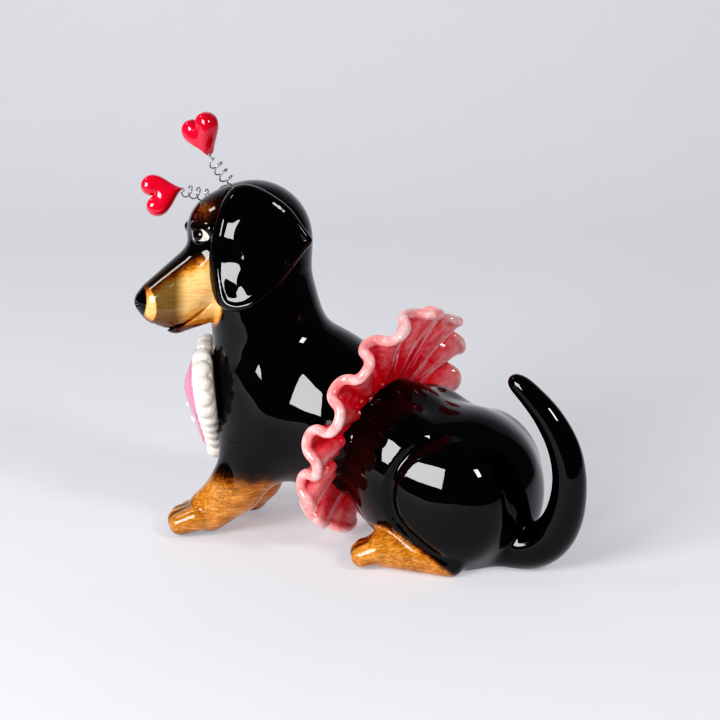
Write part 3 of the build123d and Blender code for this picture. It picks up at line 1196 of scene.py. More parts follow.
@dataclass
class Dog:
    """Every casting of the dog's own body."""

    sculpture: DogSculpture
    material: bpy.types.Material
    cell: float = 1.05
    fine_cell: float = 0.64

    def seams(self) -> dict[str, Seam]:
        """Finds where each casting was stuck on.

        Returns:
            A seam for each limb: a point on it, its direction, and the limb's box.
        """
        at = self.sculpture.seat
        neck = Seam.at(at, (6, -119.4, 110.6), (0.07, -0.17, 0.98), (-60, -200, 60), (70, -60, 200))
        left_leg = Seam.at(at, (17, -114, 42), (0.35, -0.45, -0.82), (5, -175, -2), (62, -96, 52))
        right_leg = Seam.at(at, (-6, -120, 42), (0.0, -0.35, -0.94), (-40, -175, -2), (11, -96, 46))
        left_heel = Seam.at(at, (34, -33, 10), (0.1, -0.93, -0.35), (18, -70, -2), (54, -26, 21))
        right_heel = Seam.at(at, (-34, -33, 10), (-0.1, -0.93, -0.35), (-54, -70, -2), (-18, -26, 21))
        root = Seam.at(at, (9, 25, 12), (0.1, 1.0, 0.15), (-12, 20, -2), (30, 60, 104))
        return {"head_casting": neck, "foreleg_left": left_leg, "foreleg_right": right_leg,
                "hind_foot_left": left_heel, "hind_foot_right": right_heel, "tail": root}

    def castings(self) -> list[Casting]:
        """Lists the pieces.

        Returns:
            Each piece, with the box that it is meshed in and the size of its grid.
        """
        return [
            Casting("torso_casting", (-52, -158, -4), (52, 34, 122), self.cell, False),
            Casting("head_casting", (-34, -192, 92), (62, -84, 182), self.fine_cell),
            Casting("foreleg_left", (-2, -168, -4), (62, -94, 60), self.fine_cell),
            Casting("foreleg_right", (-36, -172, -4), (24, -94, 60), self.fine_cell),
            Casting("hind_foot_left", (14, -74, -4), (58, -10, 32), self.fine_cell),
            Casting("hind_foot_right", (-58, -74, -4), (-14, -10, 32), self.fine_cell),
            Casting("tail", (-14, 4, -4), (32, 56, 104), self.fine_cell),
        ]

    def build(self) -> None:
        """Cuts, caps, paints and places every casting."""
        clay, seams = self.sculpture.clay(), self.seams()
        vent = self.sculpture.seat.rod((0, -25, -12), (0, -25, 6), 5, 5, 1.0)
        clay.hollows.append(vent)
        for casting in self.castings():
            vertices, faces = Carver(casting.cell).carve(clay, casting.low, casting.high)
            cuts = [seams[casting.node]] if casting.limb else list(seams.values())
            vertices, polygons = split(vertices, faces, cuts, casting.limb)
            normals, _ = clay.normals(vertices)
            paint = self.sculpture.paint(vertices)
            piece = plain_object(casting.node + "_glazed", vertices, polygons, normals, paint)
            settle_piece(piece, self.material, "black_tan_glaze", "figurine", casting.node)


@dataclass(frozen=True)
class EarFlap:
    """One ear as a bent leaf with a rolled rim."""

    head: Place
    side: int
    outline: Array
    stand_off: float = 29.8
    thickness: float = 4.6
    rim: float = 1.5
    blend: float = 3.0

    def sheet(self, back: Array, up: Array) -> Array:
        """Bends the leaf's middle over the crown and in at its front.

        Args:
            back: how far back each point is, in the head's frame.
            up: how far up it is.

        Returns:
            How far out the leaf's middle stands there.
        """
        over = np.maximum(up, 0.0)
        hang = np.maximum(-up - 6, 0.0)
        front = np.maximum(-back - 2, 0.0)
        folds = 0.30 * np.sin(back * 0.33 + 1.0) * np.sin(up * 0.28 + 0.4)
        bend = 0.03 * hang - 0.026 * front * front + 0.06 * np.maximum(back, 0)
        return self.stand_off - 0.0145 * over * over + bend + folds

    def distance(self, points: Array) -> Array:
        """Signed distance to the leaf.

        Args:
            points: places in millimetres.

        Returns:
            A distance for each point.
        """
        left, back, up = self.head.into(points).T
        out = left * self.side - self.sheet(back, up)
        edge = outline_distance(self.outline, back, up)
        lip = self.rim * np.exp(-((edge + 2.2) / 1.9) ** 2)
        half = self.thickness / 2 - 0.5 * ease(-edge, 3, 14)
        return smooth_max(np.abs(out - lip * 0.6) - half - lip * 0.35, edge, 3.4) * 0.9


@dataclass
class Ears:
    """The two leaf-shaped ears."""

    head: Place
    material: bpy.types.Material
    cell: float = 0.7
    points: tuple[tuple[float, float], ...] = (
        (-9, 27.5), (0, 26), (12, 17), (19.5, 5), (22.5, -0.5), (19, -5), (11.5, -14), (3, -23.5),
        (-8, -30.5), (-16.8, -32), (-23, -27.5), (-25, -14), (-24, 0), (-20.5, 13), (-15.5, 22.5))

    def build(self) -> None:
        """Carves and places both ears."""
        for side, node in ((1, "ear_left"), (-1, "ear_right")):
            clay = Clay([EarFlap(self.head, side, smooth_path(self.points, 5, True))])
            low, high = box_round(self.head, (side * 14, -32, -37), (side * 42, 27, 32))
            vertices, faces = Carver(self.cell).carve(clay, low, high)
            normals, _ = clay.normals(vertices)
            zeros = np.zeros(len(vertices))
            piece = plain_object(node + "_glazed", vertices, faces, normals, {"tan": zeros, "dark": zeros})
            settle_piece(piece, self.material, "black_tan_glaze", "figurine", node)


# ---------------------------------------------------------------- geometry nodes
class Pattern(Tree):
    """A Geometry Nodes tree with named inputs, for what repeats or follows a rule."""

    def __init__(self, name: str, sizes: dict[str, float | int]) -> None:
        """Starts a tree.

        Args:
            name: the tree's name.
            sizes: its named inputs; a whole number makes a whole-number input.
        """
        group = bpy.data.node_groups.new(name, "GeometryNodeTree")
        super().__init__(group)
        self.name, self.sizes, self.identifiers = name, sizes, {}
        group.interface.new_socket("Geometry", in_out="OUTPUT", socket_type="NodeSocketGeometry")
        group.interface.new_socket("Geometry", in_out="INPUT", socket_type="NodeSocketGeometry")
        for size, value in sizes.items():
            kind = "NodeSocketInt" if isinstance(value, int) else "NodeSocketFloat"
            socket = group.interface.new_socket(size, in_out="INPUT", socket_type=kind)
            self.identifiers[size] = socket.identifier
        self.group_input = group.nodes.new("NodeGroupInput")

    def size(self, name: str) -> Ink:
        """One of the named inputs."""
        return Ink(self, self.group_input.outputs[name])

    def store(self, geometry: Ink, name: str, value: Ink) -> Ink:
        """Stores a number on each point."""
        settings = {"data_type": "FLOAT", "domain": "POINT"}
        inputs = {"Geometry": geometry, "Name": name, "Value": value}
        return self.out("GeometryNodeStoreNamedAttribute", settings, inputs)

    def moved_to(self, geometry: Ink, point: Ink) -> Ink:
        """Moves each point of a geometry to a worked-out place."""
        return self.out("GeometryNodeSetPosition", None, {"Geometry": geometry, "Position": point})

    def circle(self, resolution: int, radius: Ink | float) -> Ink:
        """A circle to work from, or a tube's cross-section."""
        inputs = {"Resolution": resolution, "Radius": radius}
        return self.out("GeometryNodeCurvePrimitiveCircle", None, inputs)

    def run(self, geometry: Ink, material: bpy.types.Material, name: str) -> bpy.types.Object:
        """Ends the tree and runs it.

        Args:
            geometry: what the tree has made.
            material: its finish.
            name: the object's name.

        Returns:
            The result as a plain object, without its modifier.
        """
        real = self.out("GeometryNodeRealizeInstances", None, {0: geometry})
        dressed = self.out("GeometryNodeSetMaterial", None, {"Geometry": real, "Material": material})
        self.node("NodeGroupOutput", None, {0: dressed})
        carrier = bpy.data.objects.new(name, bpy.data.meshes.new(name))
        bpy.context.scene.collection.objects.link(carrier)
        modifier = carrier.modifiers.new(self.name, "NODES")
        modifier.node_group = self.tree
        for size, value in self.sizes.items():
            modifier[self.identifiers[size]] = value
        mesh = evaluated(carrier)
        carrier.modifiers.remove(modifier)
        carrier.data = mesh
        mesh.name = name
        return carrier


@dataclass
class Skirt:
    """The ruffled skirt round the waist."""

    material: bpy.types.Material
    tilt: float = 20.0
    swing: float = 9.0
    forward: float = 1.0
    waves: int = 14
    inner: float = 17.0
    outer: float = 58.5
    wave_height: float = 4.9
    curl: float = 0.024
    thickness: float = 3.6
    hem_radius: float = 2.7
    steps_per_wave: int = 24
    rows: int = 14
    voxel: float = 0.75
    softening: int = 7
    floor_gap: float = 0.3

    def place(self) -> Place:
        """Sets the ring round the waist.

        Returns:
            The ring's frame; its axis is the third direction.
        """
        a, s = math.radians(self.tilt), math.radians(self.swing)
        across = np.array([math.cos(s), -math.sin(s), 0.0])
        axis = np.array([-math.sin(s) * math.cos(a), -math.cos(s) * math.cos(a), math.sin(a)])
        axes = np.array([across, np.cross(axis, across), axis])
        return Place(centre_of("tutu") - (0, self.forward, 0), axes)

    def ruffle(self, tree: Pattern) -> Ink:
        """Adds the nodes that bend a grid round the ring.

        Args:
            tree: the pattern, with the skirt's sizes as inputs.

        Returns:
            The closed ruffle; its "reach" says how far out each point is, from 0 to 1.
        """
        counts = {"Vertices X": tree.size("Around"), "Vertices Y": tree.size("Rows")}
        grid = tree.out("GeometryNodeMeshGrid", None, {"Size X": 1.0, "Size Y": 1.0, **counts})
        around, outwards, _ = tree.split_point(tree.out("GeometryNodeInputPosition"))
        angle = (around + 0.5) * math.tau
        reach = outwards + 0.5
        drift = (angle * 2.0 + 1.0).sine() * 0.6
        phase = angle * tree.size("Waves") + drift + (angle * 5.0 + 2.2).sine() * 0.35
        change = (angle * 3.0 + 0.6).sine() * 0.18 + (angle * 7.0).sine() * 0.12 + 1.0
        swell = reach ** 1.5
        bent = angle - (phase * 2.0).sine() * tree.size("Curl") * swell * change
        width = tree.size("Outer") - tree.size("Inner")
        flutter = (phase + 0.8).cosine() * swell * 1.5 + (angle * 9.0).sine() * reach
        radius = tree.size("Inner") + width * reach + flutter
        height = phase.sine() * swell * tree.size("Wave Height") * change - reach * reach * 2.0 + 1.0
        ridges = (phase * 2.0 + angle * 3.0).sine() * (reach * math.pi).sine() * 0.8
        point = tree.point(radius * bent.cosine(), radius * bent.sine(), height + ridges)
        shaped = tree.moved_to(tree.store(grid, "reach", reach), point)
        return tree.out("GeometryNodeMergeByDistance", None, {"Geometry": shaped, "Distance": 0.01})

    def pattern(self, name: str) -> Pattern:
        """A tree with the skirt's sizes."""
        sizes = {"Inner": self.inner, "Outer": self.outer, "Waves": float(self.waves), "Curl": self.curl,
                 "Wave Height": self.wave_height, "Hem": self.hem_radius}
        return Pattern(name, {**sizes, "Around": self.waves * self.steps_per_wave + 1, "Rows": self.rows})

    def sheet(self) -> bpy.types.Object:
        """Makes the ruffle's own sheet.

        Returns:
            The sheet, thickened.
        """
        tree = self.pattern("ruffle")
        piece = tree.run(self.ruffle(tree), self.material, "ruffle")
        thick = piece.modifiers.new("thickness", "SOLIDIFY")
        thick.thickness, thick.offset = self.thickness, 0.0
        piece.data = evaluated(piece)
        piece.modifiers.clear()
        return piece

    def hem(self) -> bpy.types.Object:
        """Rolls the lip along the ruffle's outer edge.

        Returns:
            The lip, as a closed tube.
        """
        tree = self.pattern("hem")
        closed = self.ruffle(tree)
        reach = tree.out("GeometryNodeInputNamedAttribute", {"data_type": "FLOAT"}, {"Name": "reach"})
        edge = tree.out("FunctionNodeCompare", {"operation": "GREATER_THAN"}, {0: reach, 1: 0.999})
        line = tree.out("GeometryNodeMeshToCurve", None, {"Mesh": closed, "Selection": edge})
        section = {"Curve": line, "Profile Curve": tree.circle(14, tree.size("Hem"))}
        return tree.run(tree.out("GeometryNodeCurveToMesh", None, section), self.material, "hem")

    def marks(self, mesh: bpy.types.Mesh, points: Array, rounds: int = 24) -> None:
        """Stores how far out each point is, and how much it stands proud of its surroundings, which the glaze
        turns into painted shade.

        Args:
            mesh: the ruffle.
            points: its vertices in the ring's frame, in millimetres.
            rounds: how widely the surroundings are averaged.
        """
        count = len(points)
        pairs = np.empty(len(mesh.edges) * 2, np.int32)
        mesh.edges.foreach_get("vertices", pairs)
        ends = np.concatenate([pairs.reshape(-1, 2), pairs.reshape(-1, 2)[:, ::-1]])
        degree = np.bincount(ends[:, 0], minlength=count)[:, None]
        normals = np.empty(count * 3, np.float32)
        mesh.vertices.foreach_get("normal", normals)
        soft = points.copy()
        for _ in range(rounds):
            total = np.stack([np.bincount(ends[:, 0], soft[ends[:, 1], i], count) for i in range(3)], 1)
            soft = total / np.maximum(degree, 1)
        proud = ((points - soft) * normals.reshape(-1, 3)).sum(1)
        width = self.outer + self.hem_radius - self.inner
        reach = (np.hypot(points[:, 0], points[:, 1]) - self.inner) / width
        for name, values in (("reach", reach), ("proud", proud)):
            mesh.attributes.new(name, "FLOAT", "POINT").data.foreach_set("value", values.astype(np.float32))

    def build(self) -> None:
        """Fuses the sheet and its lip, then places the ruffle."""
        points, faces = fused_mesh([self.sheet(), self.hem()], self.voxel, self.softening)
        piece = plain_object("tutu_ruffle", points, faces)
        self.marks(piece.data, points)
        placed = self.place().out(points)
        placed[:, 2] = np.maximum(placed[:, 2], self.floor_gap)
        place_points(piece.data, placed)
        settle_piece(piece, self.material, "skirt_glaze", "figurine", "tutu")


def fused_mesh(parts: Sequence[bpy.types.Object], voxel: float, softening: int) -> tuple[Array, Array]:
    """Melts overlapping closed meshes into one even skin.

    Args:
        parts: plain objects whose numbers are millimetres; they are used up.
        voxel: the skin's grain, in millimetres.
        softening: how many times it is smoothed.

    Returns:
        Vertices in millimetres, and quads.
    """
    work = bmesh.new()
    for part in parts:
        work.from_mesh(part.data)
        bpy.data.objects.remove(part)
    mesh = bpy.data.meshes.new("melt")
    work.to_mesh(mesh)
    work.free()
    piece = bpy.data.objects.new("melt", mesh)
    bpy.context.scene.collection.objects.link(piece)
    fuse = piece.modifiers.new("fuse", "REMESH")
    fuse.mode, fuse.voxel_size = "VOXEL", voxel
    soften = piece.modifiers.new("soften", "SMOOTH")
    soften.factor, soften.iterations = 0.5, softening
    result = evaluated(piece)
    bpy.data.objects.remove(piece)
    return mesh_points(result), np.array([polygon.vertices[:] for polygon in result.polygons])


def fix_normals(mesh: bpy.types.Mesh) -> None:
    """Turns every face of a closed mesh outwards.

    Args:
        mesh: the mesh, which is changed.
    """
    work = bmesh.new()
    work.from_mesh(mesh)
    bmesh.ops.recalc_face_normals(work, faces=work.faces[:])
    work.to_mesh(mesh)
    work.free()


# ---------------------------------------------------------------- plaque
def heart_outline(size: float, steps: int = 96) -> Array:
    """Draws a heart whose tip points down.

    Args:
        size: half its width, about.
        steps: how many points go round it.

    Returns:
        The points.
    """
    t = np.linspace(0, 2 * np.pi, steps, endpoint=False)
    x = np.sin(t) ** 3
    y = (13 * np.cos(t) - 5 * np.cos(2 * t) - 2 * np.cos(3 * t) - np.cos(4 * t) + 2.5) / 14.5
    return np.stack([x, y], 1) * size


@dataclass(frozen=True)
class HeartSlab:
    """A heart with rounded edges, flat or domed."""

    place: Place
    outline: Array
    low: float
    high: float
    round_edge: float
    dome: float = 0.0
    blend: float = 2.0

    def distance(self, points: Array) -> Array:
        """Signed distance to the slab.

        Args:
            points: places in millimetres.

        Returns:
            A distance for each point.
        """
        across, up, out = self.place.into(points).T
        edge = outline_distance(self.outline, across, up)
        crown = self.dome * np.sqrt(np.clip(ease(-edge, -1.0, 16.0), 0, 1))
        middle, half = (self.low + self.high) / 2, (self.high - self.low) / 2
        slab = np.maximum(out - middle - half - crown, middle - half - out)
        return smooth_max(slab, edge, self.round_edge) * 0.85


@dataclass
class Plaque:
    """The heart plaque on the chest."""

    white: bpy.types.Material
    pink: bpy.types.Material
    turned: float = 24.0
    lean: float = 5.0
    size: float = 26.4
    thickness: float = 10.4
    outline_size: float = 30.0
    dome: float = 6.2
    dome_share: float = 0.80
    scallops: int = 24
    scallop_radius: float = 4.3
    marks: int = 3
    mark_size: float = 2.2
    mark_spacing: float = 8.5
    mark_drop: float = 1.0
    cell: float = 0.6

    def place(self) -> Place:
        """Sets the plaque on the chest.

        Returns:
            Its frame: across, up and out of its face, from an origin on its back.
        """
        out = np.array([math.sin(math.radians(self.turned)), -math.cos(math.radians(self.turned)), 0.0])
        lean = math.radians(self.lean)
        across = np.array([math.cos(math.radians(self.turned)), math.sin(math.radians(self.turned)), 0.0])
        face = out * math.cos(lean) - np.array([0, 0, 1.0]) * math.sin(lean)
        axes = np.array([across, np.cross(face, across), face])
        return Place(centre_of("plaque_shell") - face * (self.thickness / 2 + 0.4), axes)

    def beads(self) -> bpy.types.Object:
        """Sets one bead for each scallop round the heart's outline.

        Returns:
            The beads as one object.
        """
        sizes = {"Size": self.size, "Count": self.scallops, "Bead": self.scallop_radius}
        tree = Pattern("scallops", {**sizes, "Depth": self.thickness * 0.47})
        circle = tree.circle(240, 1.0)
        turn_share = tree.out("GeometryNodeSplineParameter", output="Factor") * math.tau
        x = turn_share.sine() ** 3.0
        wave = turn_share.cosine() * 13.0 - (turn_share * 2.0).cosine() * 5.0
        y = (wave - (turn_share * 3.0).cosine() * 2.0 - (turn_share * 4.0).cosine() + 2.5) / 14.5
        heart = tree.moved_to(circle, tree.point(x * tree.size("Size"), y * tree.size("Size")))
        along = {"Curve": heart, "Count": tree.size("Count")}
        spots = tree.out("GeometryNodeCurveToPoints", {"mode": "COUNT"}, along)
        bead = tree.out("GeometryNodeMeshUVSphere", None, {"Segments": 14, "Rings": 9, "Radius": 1.0})
        scale = tree.point(tree.size("Bead"), tree.size("Bead"), tree.size("Depth"))
        lift = tree.point(z=self.thickness / 2)
        raised = tree.out("GeometryNodeSetPosition", None, {"Geometry": spots, "Offset": lift})
        set_out = {"Points": raised, "Instance": bead, "Scale": scale}
        return tree.run(tree.out("GeometryNodeInstanceOnPoints", None, set_out), self.white, "plaque_edge")

    def shell(self, place: Place, reach: float) -> None:
        """Makes the white heart with its scalloped edge.

        Args:
            place: the plaque's frame.
            reach: half the width of the box that it is meshed in.
        """
        flat = Place(np.zeros(3), np.eye(3))
        slab = Clay([HeartSlab(flat, heart_outline(self.size), 0.0, self.thickness, 3.4)])
        vertices, faces = Carver(self.cell).carve(slab, (-reach, -reach, -4), (reach, reach, 14))
        body = plain_object("plaque_slab", vertices / MM, faces)
        points, quads = fused_mesh([body, self.beads()], 0.55, 5)
        piece = plain_object("plaque_shell_glazed", place.out(points), quads)
        settle_piece(piece, self.white, "white_glaze", "figurine", "plaque_shell")

    def centre(self, place: Place, reach: float) -> Clay:
        """Makes the pink dome.

        Args:
            place: the plaque's frame.
            reach: half the width of the box that it is meshed in.

        Returns:
            The dome's sculpture, on which the marks sit.
        """
        outline = heart_outline(self.outline_size * self.dome_share)
        dome = Clay([HeartSlab(place, outline, self.thickness - 4.0, self.thickness, 1.5, self.dome)])
        low, high = box_round(place, (-reach, -reach, -6), (reach, reach, 20))
        vertices, faces = Carver(self.cell).carve(dome, low, high)
        piece = plain_object("plaque_dome_glazed", vertices, faces, dome.normals(vertices)[0])
        settle_piece(piece, self.pink, "pink_glaze", "figurine", "plaque_centre")
        return dome

    def sprigs(self, place: Place, dome: Clay) -> None:
        """Sets a row of raised marks down the dome.

        Args:
            place: the plaque's frame.
            dome: the dome's sculpture.
        """
        sizes = {"Count": self.marks, "Spacing": self.mark_spacing, "Size": self.mark_size}
        tree = Pattern("marks", {**sizes, "Drop": self.mark_drop})
        low = tree.size("Spacing") * (tree.size("Count") - 1.0) * -0.5
        steps = {"Count": tree.size("Count"), "Offset": tree.point(y=tree.size("Spacing"))}
        line = tree.out("GeometryNodeMeshLine", {"mode": "OFFSET"}, steps)
        move = tree.point(y=low - tree.size("Drop"))
        row = tree.out("GeometryNodeSetPosition", None, {"Geometry": line, "Offset": move})
        ball = tree.out("GeometryNodeMeshIcoSphere", None, {"Radius": tree.size("Size"), "Subdivisions": 3})
        set_out = {"Points": row, "Instance": ball, "Scale": (1.0, 1.0, 0.42)}
        placed = tree.out("GeometryNodeInstanceOnPoints", None, set_out)
        piece = tree.run(placed, self.white, "plaque_marks")
        points = mesh_points(piece.data)
        base = place.out(points * (1, 1, 0) + (0, 0, self.thickness))
        face = place.axes[2]
        for _ in range(30):
            base = base - np.outer(np.clip(dome.distance(base), -0.6, 0.6), face)
        place_points(piece.data, base + np.outer(points[:, 2] + 0.1, face))
        piece.data.shade_smooth()
        settle_piece(piece, self.white, "white_glaze", "figurine", "plaque_sprigs")

    def build(self) -> None:
        """Shell, dome and raised marks."""
        place = self.place()
        reach = self.outline_size + 6
        self.shell(place, reach)
        self.sprigs(place, self.centre(place, reach))


# ---------------------------------------------------------------- hearts on springs
@dataclass
class Bopper:
    """One heart on its spring."""

    name: str
    materials: dict[str, bpy.types.Material]
    heart_up: Array
    heart_facing: Array
    coil_radius: float = 3.0
    wire_radius: float = 0.36
    turns: float = 3.0
    lean: float = 0.55
    tail: float = 6.2
    steps: int = 150
    joint_shares: tuple[float, float] = (0.2, 0.8)
    lift: float = 1.0
    heart_size: float = 9.9
    heart_depth: float = 10.8
    heart_round: float = 8.5

    def joint(self, ending: str) -> dict[str, Any]:
        """One of this side's joints, by the end of its name."""
        return next(joint for joint in frame["joints"] if joint["name"] == self.name + ending)

    def spring_line(self) -> tuple[Array, Array, float]:
        """Finds the coil from its two joints, which stand at set shares of it.

        Returns:
            The foot of the coil, its direction, and its length.
        """
        first = np.array(self.joint("_spring_nod")["pos_m"]) / MM
        second = np.array(self.joint("_heart_sway")["pos_m"]) / MM
        low, high = self.joint_shares
        coil = float(np.linalg.norm(second - first)) / (high - low)
        axis = unit(second - first)
        return first - axis * coil * low, axis, coil

    def half_wire(self, name: str, coil: float, low: float, high: float) -> bpy.types.Object:
        """Winds part of the wire round the third direction of its own frame.

        Args:
            name: the piece's name.
            coil: the coil's length in millimetres.
            low: the share of the wire at which this part starts.
            high: the share at which it ends.

        Returns:
            The part, capped at its ends, in millimetres.
        """
        sizes = {"Low": low, "High": high, "Length": coil + 2 * self.tail, "Tail": self.tail,
                 "Radius": self.coil_radius, "Turns": self.turns, "Wire": self.wire_radius, "Lean": self.lean}
        tree = Pattern("coil", {**sizes, "Steps": self.steps})
        ends = {"Start": (0.0, 0.0, 0.0), "End": (0.0, 0.0, 1.0)}
        line = tree.out("GeometryNodeCurvePrimitiveLine", None, ends)
        fine = tree.out("GeometryNodeResampleCurve", None, {"Curve": line, "Count": tree.size("Steps")})
        share = tree.out("GeometryNodeSplineParameter", output="Factor")
        along = (tree.size("Low") + (tree.size("High") - tree.size("Low")) * share) * tree.size("Length")
        inner = (along - tree.size("Tail")) / (tree.size("Length") - tree.size("Tail") * 2.0)
        width = inner.ease(-0.16, 0.1) * inner.ease(1.16, 0.9) * tree.size("Radius")
        angle = inner * tree.size("Turns") * math.tau
        rise = along - tree.size("Tail") + width * angle.cosine() * tree.size("Lean")
        bent = tree.moved_to(fine, tree.point(width * angle.cosine(), width * angle.sine(), rise))
        section = {"Curve": bent, "Profile Curve": tree.circle(10, tree.size("Wire")), "Fill Caps": True}
        return tree.run(tree.out("GeometryNodeCurveToMesh", None, section), self.materials["wire"], name)

    def wire(self, axis: Array, side: Array, start: Array, coil: float) -> None:
        """Makes the wire in two pieces that meet mid-coil.

        Args:
            axis: the coil's direction.
            side: a direction across it.
            start: the foot of the coil.
            coil: its length in millimetres.
        """
        place = Place(start, np.array([side, np.cross(axis, side), axis]))
        for number, part in enumerate(("lower", "upper")):
            low, high = number * 0.5, number * 0.5 + 0.5
            piece = self.half_wire(f"{self.name}_spring_{part}", coil, low, high)
            place_points(piece.data, place.out(mesh_points(piece.data)))
            piece.data.shade_smooth()
            fix_normals(piece.data)
            begin, end = start + axis * coil * low, start + axis * coil * high
            tuple(begin * MM)
            tuple(end * MM)
            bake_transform(piece)
            announce(piece, "spring_wire", self.name + "_spring")

    def bead(self, node: str, centre: Array, axis: Array, radius: float, height: float, body: str) -> None:
        """Makes a bead of glue round the wire.

        Args:
            node: the node that it stands for.
            centre: its middle.
            axis: the wire's direction.
            radius: its radius across the wire.
            height: its half height along the wire.
            body: the body that it moves with.
        """
        helper = unit(np.cross(axis, (0, 0, 1.0)))
        place = Place(centre, np.array([helper, np.cross(axis, helper), axis]))
        drop = place.lump((0, 0, 0), (radius, radius, height), 1.0)
        run = place.lump((0.5, 0.3, height * 0.4), (radius * 0.6, radius * 0.6, height * 0.9), 1.0)
        clay = Clay([drop, run])
        vertices, faces = Carver(0.16).carve(clay, centre - radius * 2.2, centre + radius * 2.2)
        piece = plain_object(node + "_clear", vertices, faces, clay.normals(vertices)[0])
        settle_piece(piece, self.materials["glue"], "clear_glue", body, node)

    def heart(self, tip: Array) -> None:
        """Makes the puffed heart.

        Args:
            tip: where its tip sits on the wire, before its lift.
        """
        up = unit(self.heart_up)
        across = unit(np.cross(up, self.heart_facing))
        size, half = self.heart_size, self.heart_depth / 2
        place = Place(tip + up * (size * 0.95 + self.lift), np.array([across, up, np.cross(across, up)]))
        clay = Clay([HeartSlab(place, heart_outline(size * 1.06), -half, half, self.heart_round)])
        vertices, faces = Carver(0.42).carve(clay, place.origin - size * 1.5, place.origin + size * 1.5)
        piece = plain_object(self.name + "_heart_glazed", vertices, faces, clay.normals(vertices)[0])
        body, node = self.name + "_bopper", self.name + "_heart"
        settle_piece(piece, self.materials["heart"], "heart_glaze", body, node)

    def build(self) -> None:
        """Spring, heart and both beads of glue."""
        start, axis, coil = self.spring_line()
        side = np.array(self.joint("_spring_nod")["axis"])
        self.wire(axis, unit(side - axis * (side @ axis)), start, coil)
        self.bead(self.name + "_socket_glue", start - axis * 5.1, axis, 2.4, 1.7, "figurine")
        tip = start + axis * (coil + 2.5)
        centre = tip + axis * (self.lift + 0.2)
        self.bead(self.name + "_heart_glue", centre, axis, 1.1, 1.0, self.name + "_bopper")
        self.heart(tip)


# ---------------------------------------------------------------- studio
@dataclass(frozen=True)
class SoftBox:
    """A square light: where it stands, in degrees and metres, its width and its watts."""

    azimuth: float
    elevation: float
    distance: float
    size: float
    power: float


class Light(Enum):
    """The studio's soft lights."""

    KEY = SoftBox(71, 21, 1.30, 0.62, 18)
    FILL = SoftBox(160, 36, 1.3, 0.26, 5.0)
    BACK = SoftBox(20, 50, 1.5, 0.22, 1.6)


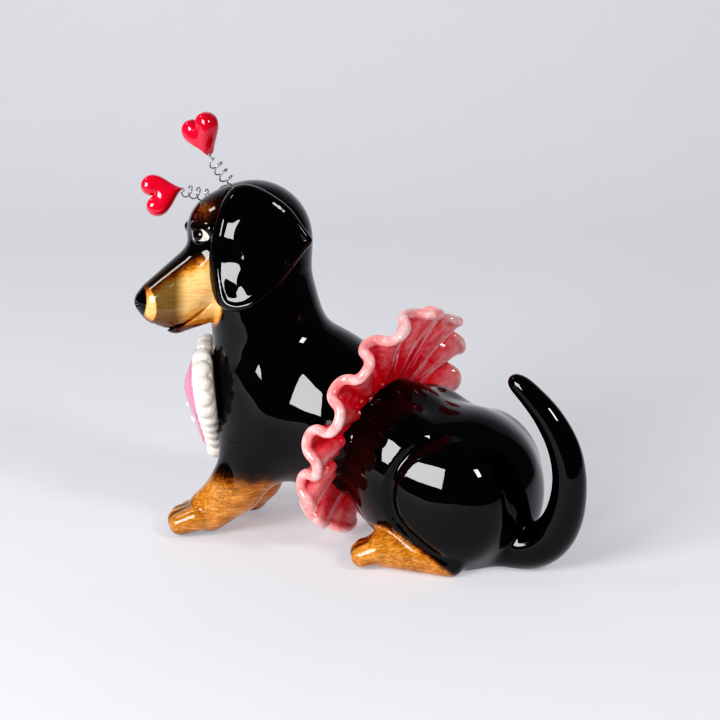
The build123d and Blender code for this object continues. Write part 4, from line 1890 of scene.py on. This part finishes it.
@dataclass
class Studio:
    """A pale floor that sweeps up behind, soft lights and the camera."""

    azimuth: float = 114.0
    elevation: float = 16.0
    distance: float = 0.85
    lens: float = 87.0
    target: Triple = (0.0, -0.071, 0.090)
    room: tuple[float, float, float, float] = (0.14, 0.14, 0.145, 1.0)
    tone_points: tuple[tuple[float, float], ...] = ((0.035, 0.010), (0.09, 0.062), (0.25, 0.24))

    def back(self, azimuth: float, elevation: float) -> Vector:
        """The direction from the target towards a camera or light."""
        a, e = math.radians(azimuth), math.radians(elevation)
        return Vector((math.sin(a) * math.cos(e), -math.cos(a) * math.cos(e), math.sin(e)))

    def camera(self) -> None:
        """Sets up the camera, which sees the whole figurine from its left."""
        data = bpy.data.cameras.new("camera")
        data.lens, data.sensor_width, data.clip_start = self.lens, 36.0, 0.01
        camera = bpy.data.objects.new("camera", data)
        direction = self.back(self.azimuth, self.elevation)
        camera.location = Vector(self.target) + direction * self.distance
        camera.rotation_euler = direction.to_track_quat("Z", "Y").to_euler()
        bpy.context.scene.collection.objects.link(camera)
        bpy.context.scene.camera = camera

    def light(self, kind: Light) -> None:
        """Aims one soft light at the figurine.

        Args:
            kind: which light.
        """
        box, name = kind.value, kind.name.lower()
        data = bpy.data.lights.new(name, "AREA")
        data.shape, data.size, data.energy = "SQUARE", box.size, box.power
        lamp = bpy.data.objects.new(name, data)
        direction = self.back(box.azimuth, box.elevation)
        lamp.location = Vector(self.target) + direction * box.distance
        lamp.rotation_euler = direction.to_track_quat("Z", "Y").to_euler()
        bpy.context.scene.collection.objects.link(lamp)

    def card(self) -> bpy.types.Material:
        """Mixes pale card with a painted glow of light, brighter in the middle and dimmer towards its sides and
        top.

        Returns:
            The material.
        """
        recipe = Recipe("card")
        grain = recipe.noise(30.0)
        foot = Place(np.array(self.target) * (1, 1, 0) / MM, turn(self.azimuth))
        across, _, up = recipe.split_point(recipe.stretched(foot, (1000.0, 1000.0, 1000.0)))
        # painted light: the card glows, fading from the middle towards its sides and top
        edge = (across * across * 0.5 + up * up * 0.25).ease(0.0, 0.6)
        painted_glow = recipe.mix(edge, (0.30, 0.305, 0.33), (0.18, 0.184, 0.205))
        colour = recipe.mix(grain, (0.60, 0.60, 0.61), (0.62, 0.62, 0.63))
        return recipe.glaze(colour, 0.8, None, Emission_Color=painted_glow, Emission_Strength=1.0,
                            Specular_IOR_Level=0.1)

    def sweep(self) -> None:
        """The floor and backdrop as one curved sheet of pale card, in metres."""
        away = -self.back(self.azimuth, 0.0)
        side = Vector((-away.y, away.x, 0.0))
        middle = Vector((self.target[0], self.target[1], 0.0))
        front, flat, radius, top, half_width = -0.42, 0.75, 0.45, 1.9, 1.6
        bend = [(flat + radius * math.sin(t), radius - radius * math.cos(t))
                for t in np.linspace(0.1, math.pi / 2, 14)]
        profile = [(front, 0.0), (0.0, 0.0), (flat, 0.0), *bend, (flat + radius, top)]
        points, faces = [], []
        for along, up in profile:
            row = middle + away * along + Vector((0, 0, up))
            points += [tuple(row + side * width) for width in (-half_width, half_width)]
        for row in range(len(profile) - 1):
            faces.append((2 * row, 2 * row + 1, 2 * row + 3, 2 * row + 2))
        mesh = bpy.data.meshes.new("sweep")
        mesh.from_pydata(points, [], faces)
        mesh.shade_smooth()
        sweep = bpy.data.objects.new("sweep", mesh)
        bpy.context.scene.collection.objects.link(sweep)
        mesh.materials.append(self.card())

    def tone_curve(self) -> None:
        """Deepens the shadows a little."""
        view = bpy.context.scene.view_settings
        view.view_transform = "Standard"
        view.use_curve_mapping = True
        curve = view.curve_mapping.curves[3]
        for x, y in self.tone_points:
            curve.points.new(x, y)
        view.curve_mapping.update()

    def build(self) -> None:
        """Everything round the figurine."""
        self.tone_curve()
        self.camera()
        self.sweep()
        for kind in Light:
            self.light(kind)
        world = bpy.data.worlds.new("room")
        world.use_nodes = True
        world.node_tree.nodes["Background"].inputs[0].default_value = self.room
        bpy.context.scene.world = world


# ---------------------------------------------------------------- the whole figurine
def head_place() -> Place:
    """The head's frame, from its casting's box."""
    offset = np.array([-7.52, 6.0, 7.94])
    return Place(centre_of("head_casting") + offset, turn(39.0, 0.0, -10.0))


def eye_paint(head: Place, side: int) -> EyePaint:
    """Finds where an eye is painted.

    Args:
        head: the head's frame.
        side: 1 for the dog's left, -1 for its right.

    Returns:
        The eye's paint; its frame looks out of the head.
    """
    out = unit([side * 0.74, -0.64, 0.16]) @ head.axes
    across = unit(np.cross((0, 0, 1.0), out) * side)
    axes = np.array([across, -out, np.cross(across, -out)])
    return EyePaint(Place(head.out((side * 12.9, -28.6, 4.6)), axes))


def main() -> None:
    """Builds every piece in order."""
    logging.basicConfig(level=logging.INFO, format="%(message)s")
    Studio().build()
    mount = next(mount for mount in frame["record"]["mounts"] if mount["name"] == "seat_base")
    seat, head = Place(np.array(mount["pos_m"]) / MM, turn()), head_place()
    dog_glaze = DogGlaze(head, tuple(eye_paint(head, side) for side in (1, -1))).material()
    Dog(DogSculpture(seat, head), dog_glaze).build()
    Ears(head, dog_glaze).build()
    Skirt(SkirtGlaze().material()).build()
    white = PlainGlaze("white_glaze", linear(243, 238, 230), linear(228, 220, 210)).material()
    pink = PlainGlaze("pink_glaze", linear(226, 130, 168), linear(214, 100, 146)).material()
    Plaque(white, pink).build()
    red = PlainGlaze("heart_glaze", linear(228, 18, 58), linear(196, 10, 44)).material()
    kit = {"wire": SpringWire().material(), "glue": ClearGlue().material(), "heart": red}
    up, facing = np.array([(-0.18, -0.26, 0.95), (0.5, -0.85, 0.1)]) @ head.axes
    Bopper("left", kit, up, facing).build()
    up, facing = np.array([(-0.16, -0.93, -0.2), (0.96, -0.25, 0.1)]) @ head.axes
    Bopper("right", kit, up, facing, lift=-2.2).build()


if __name__ == "__main__":
    main()
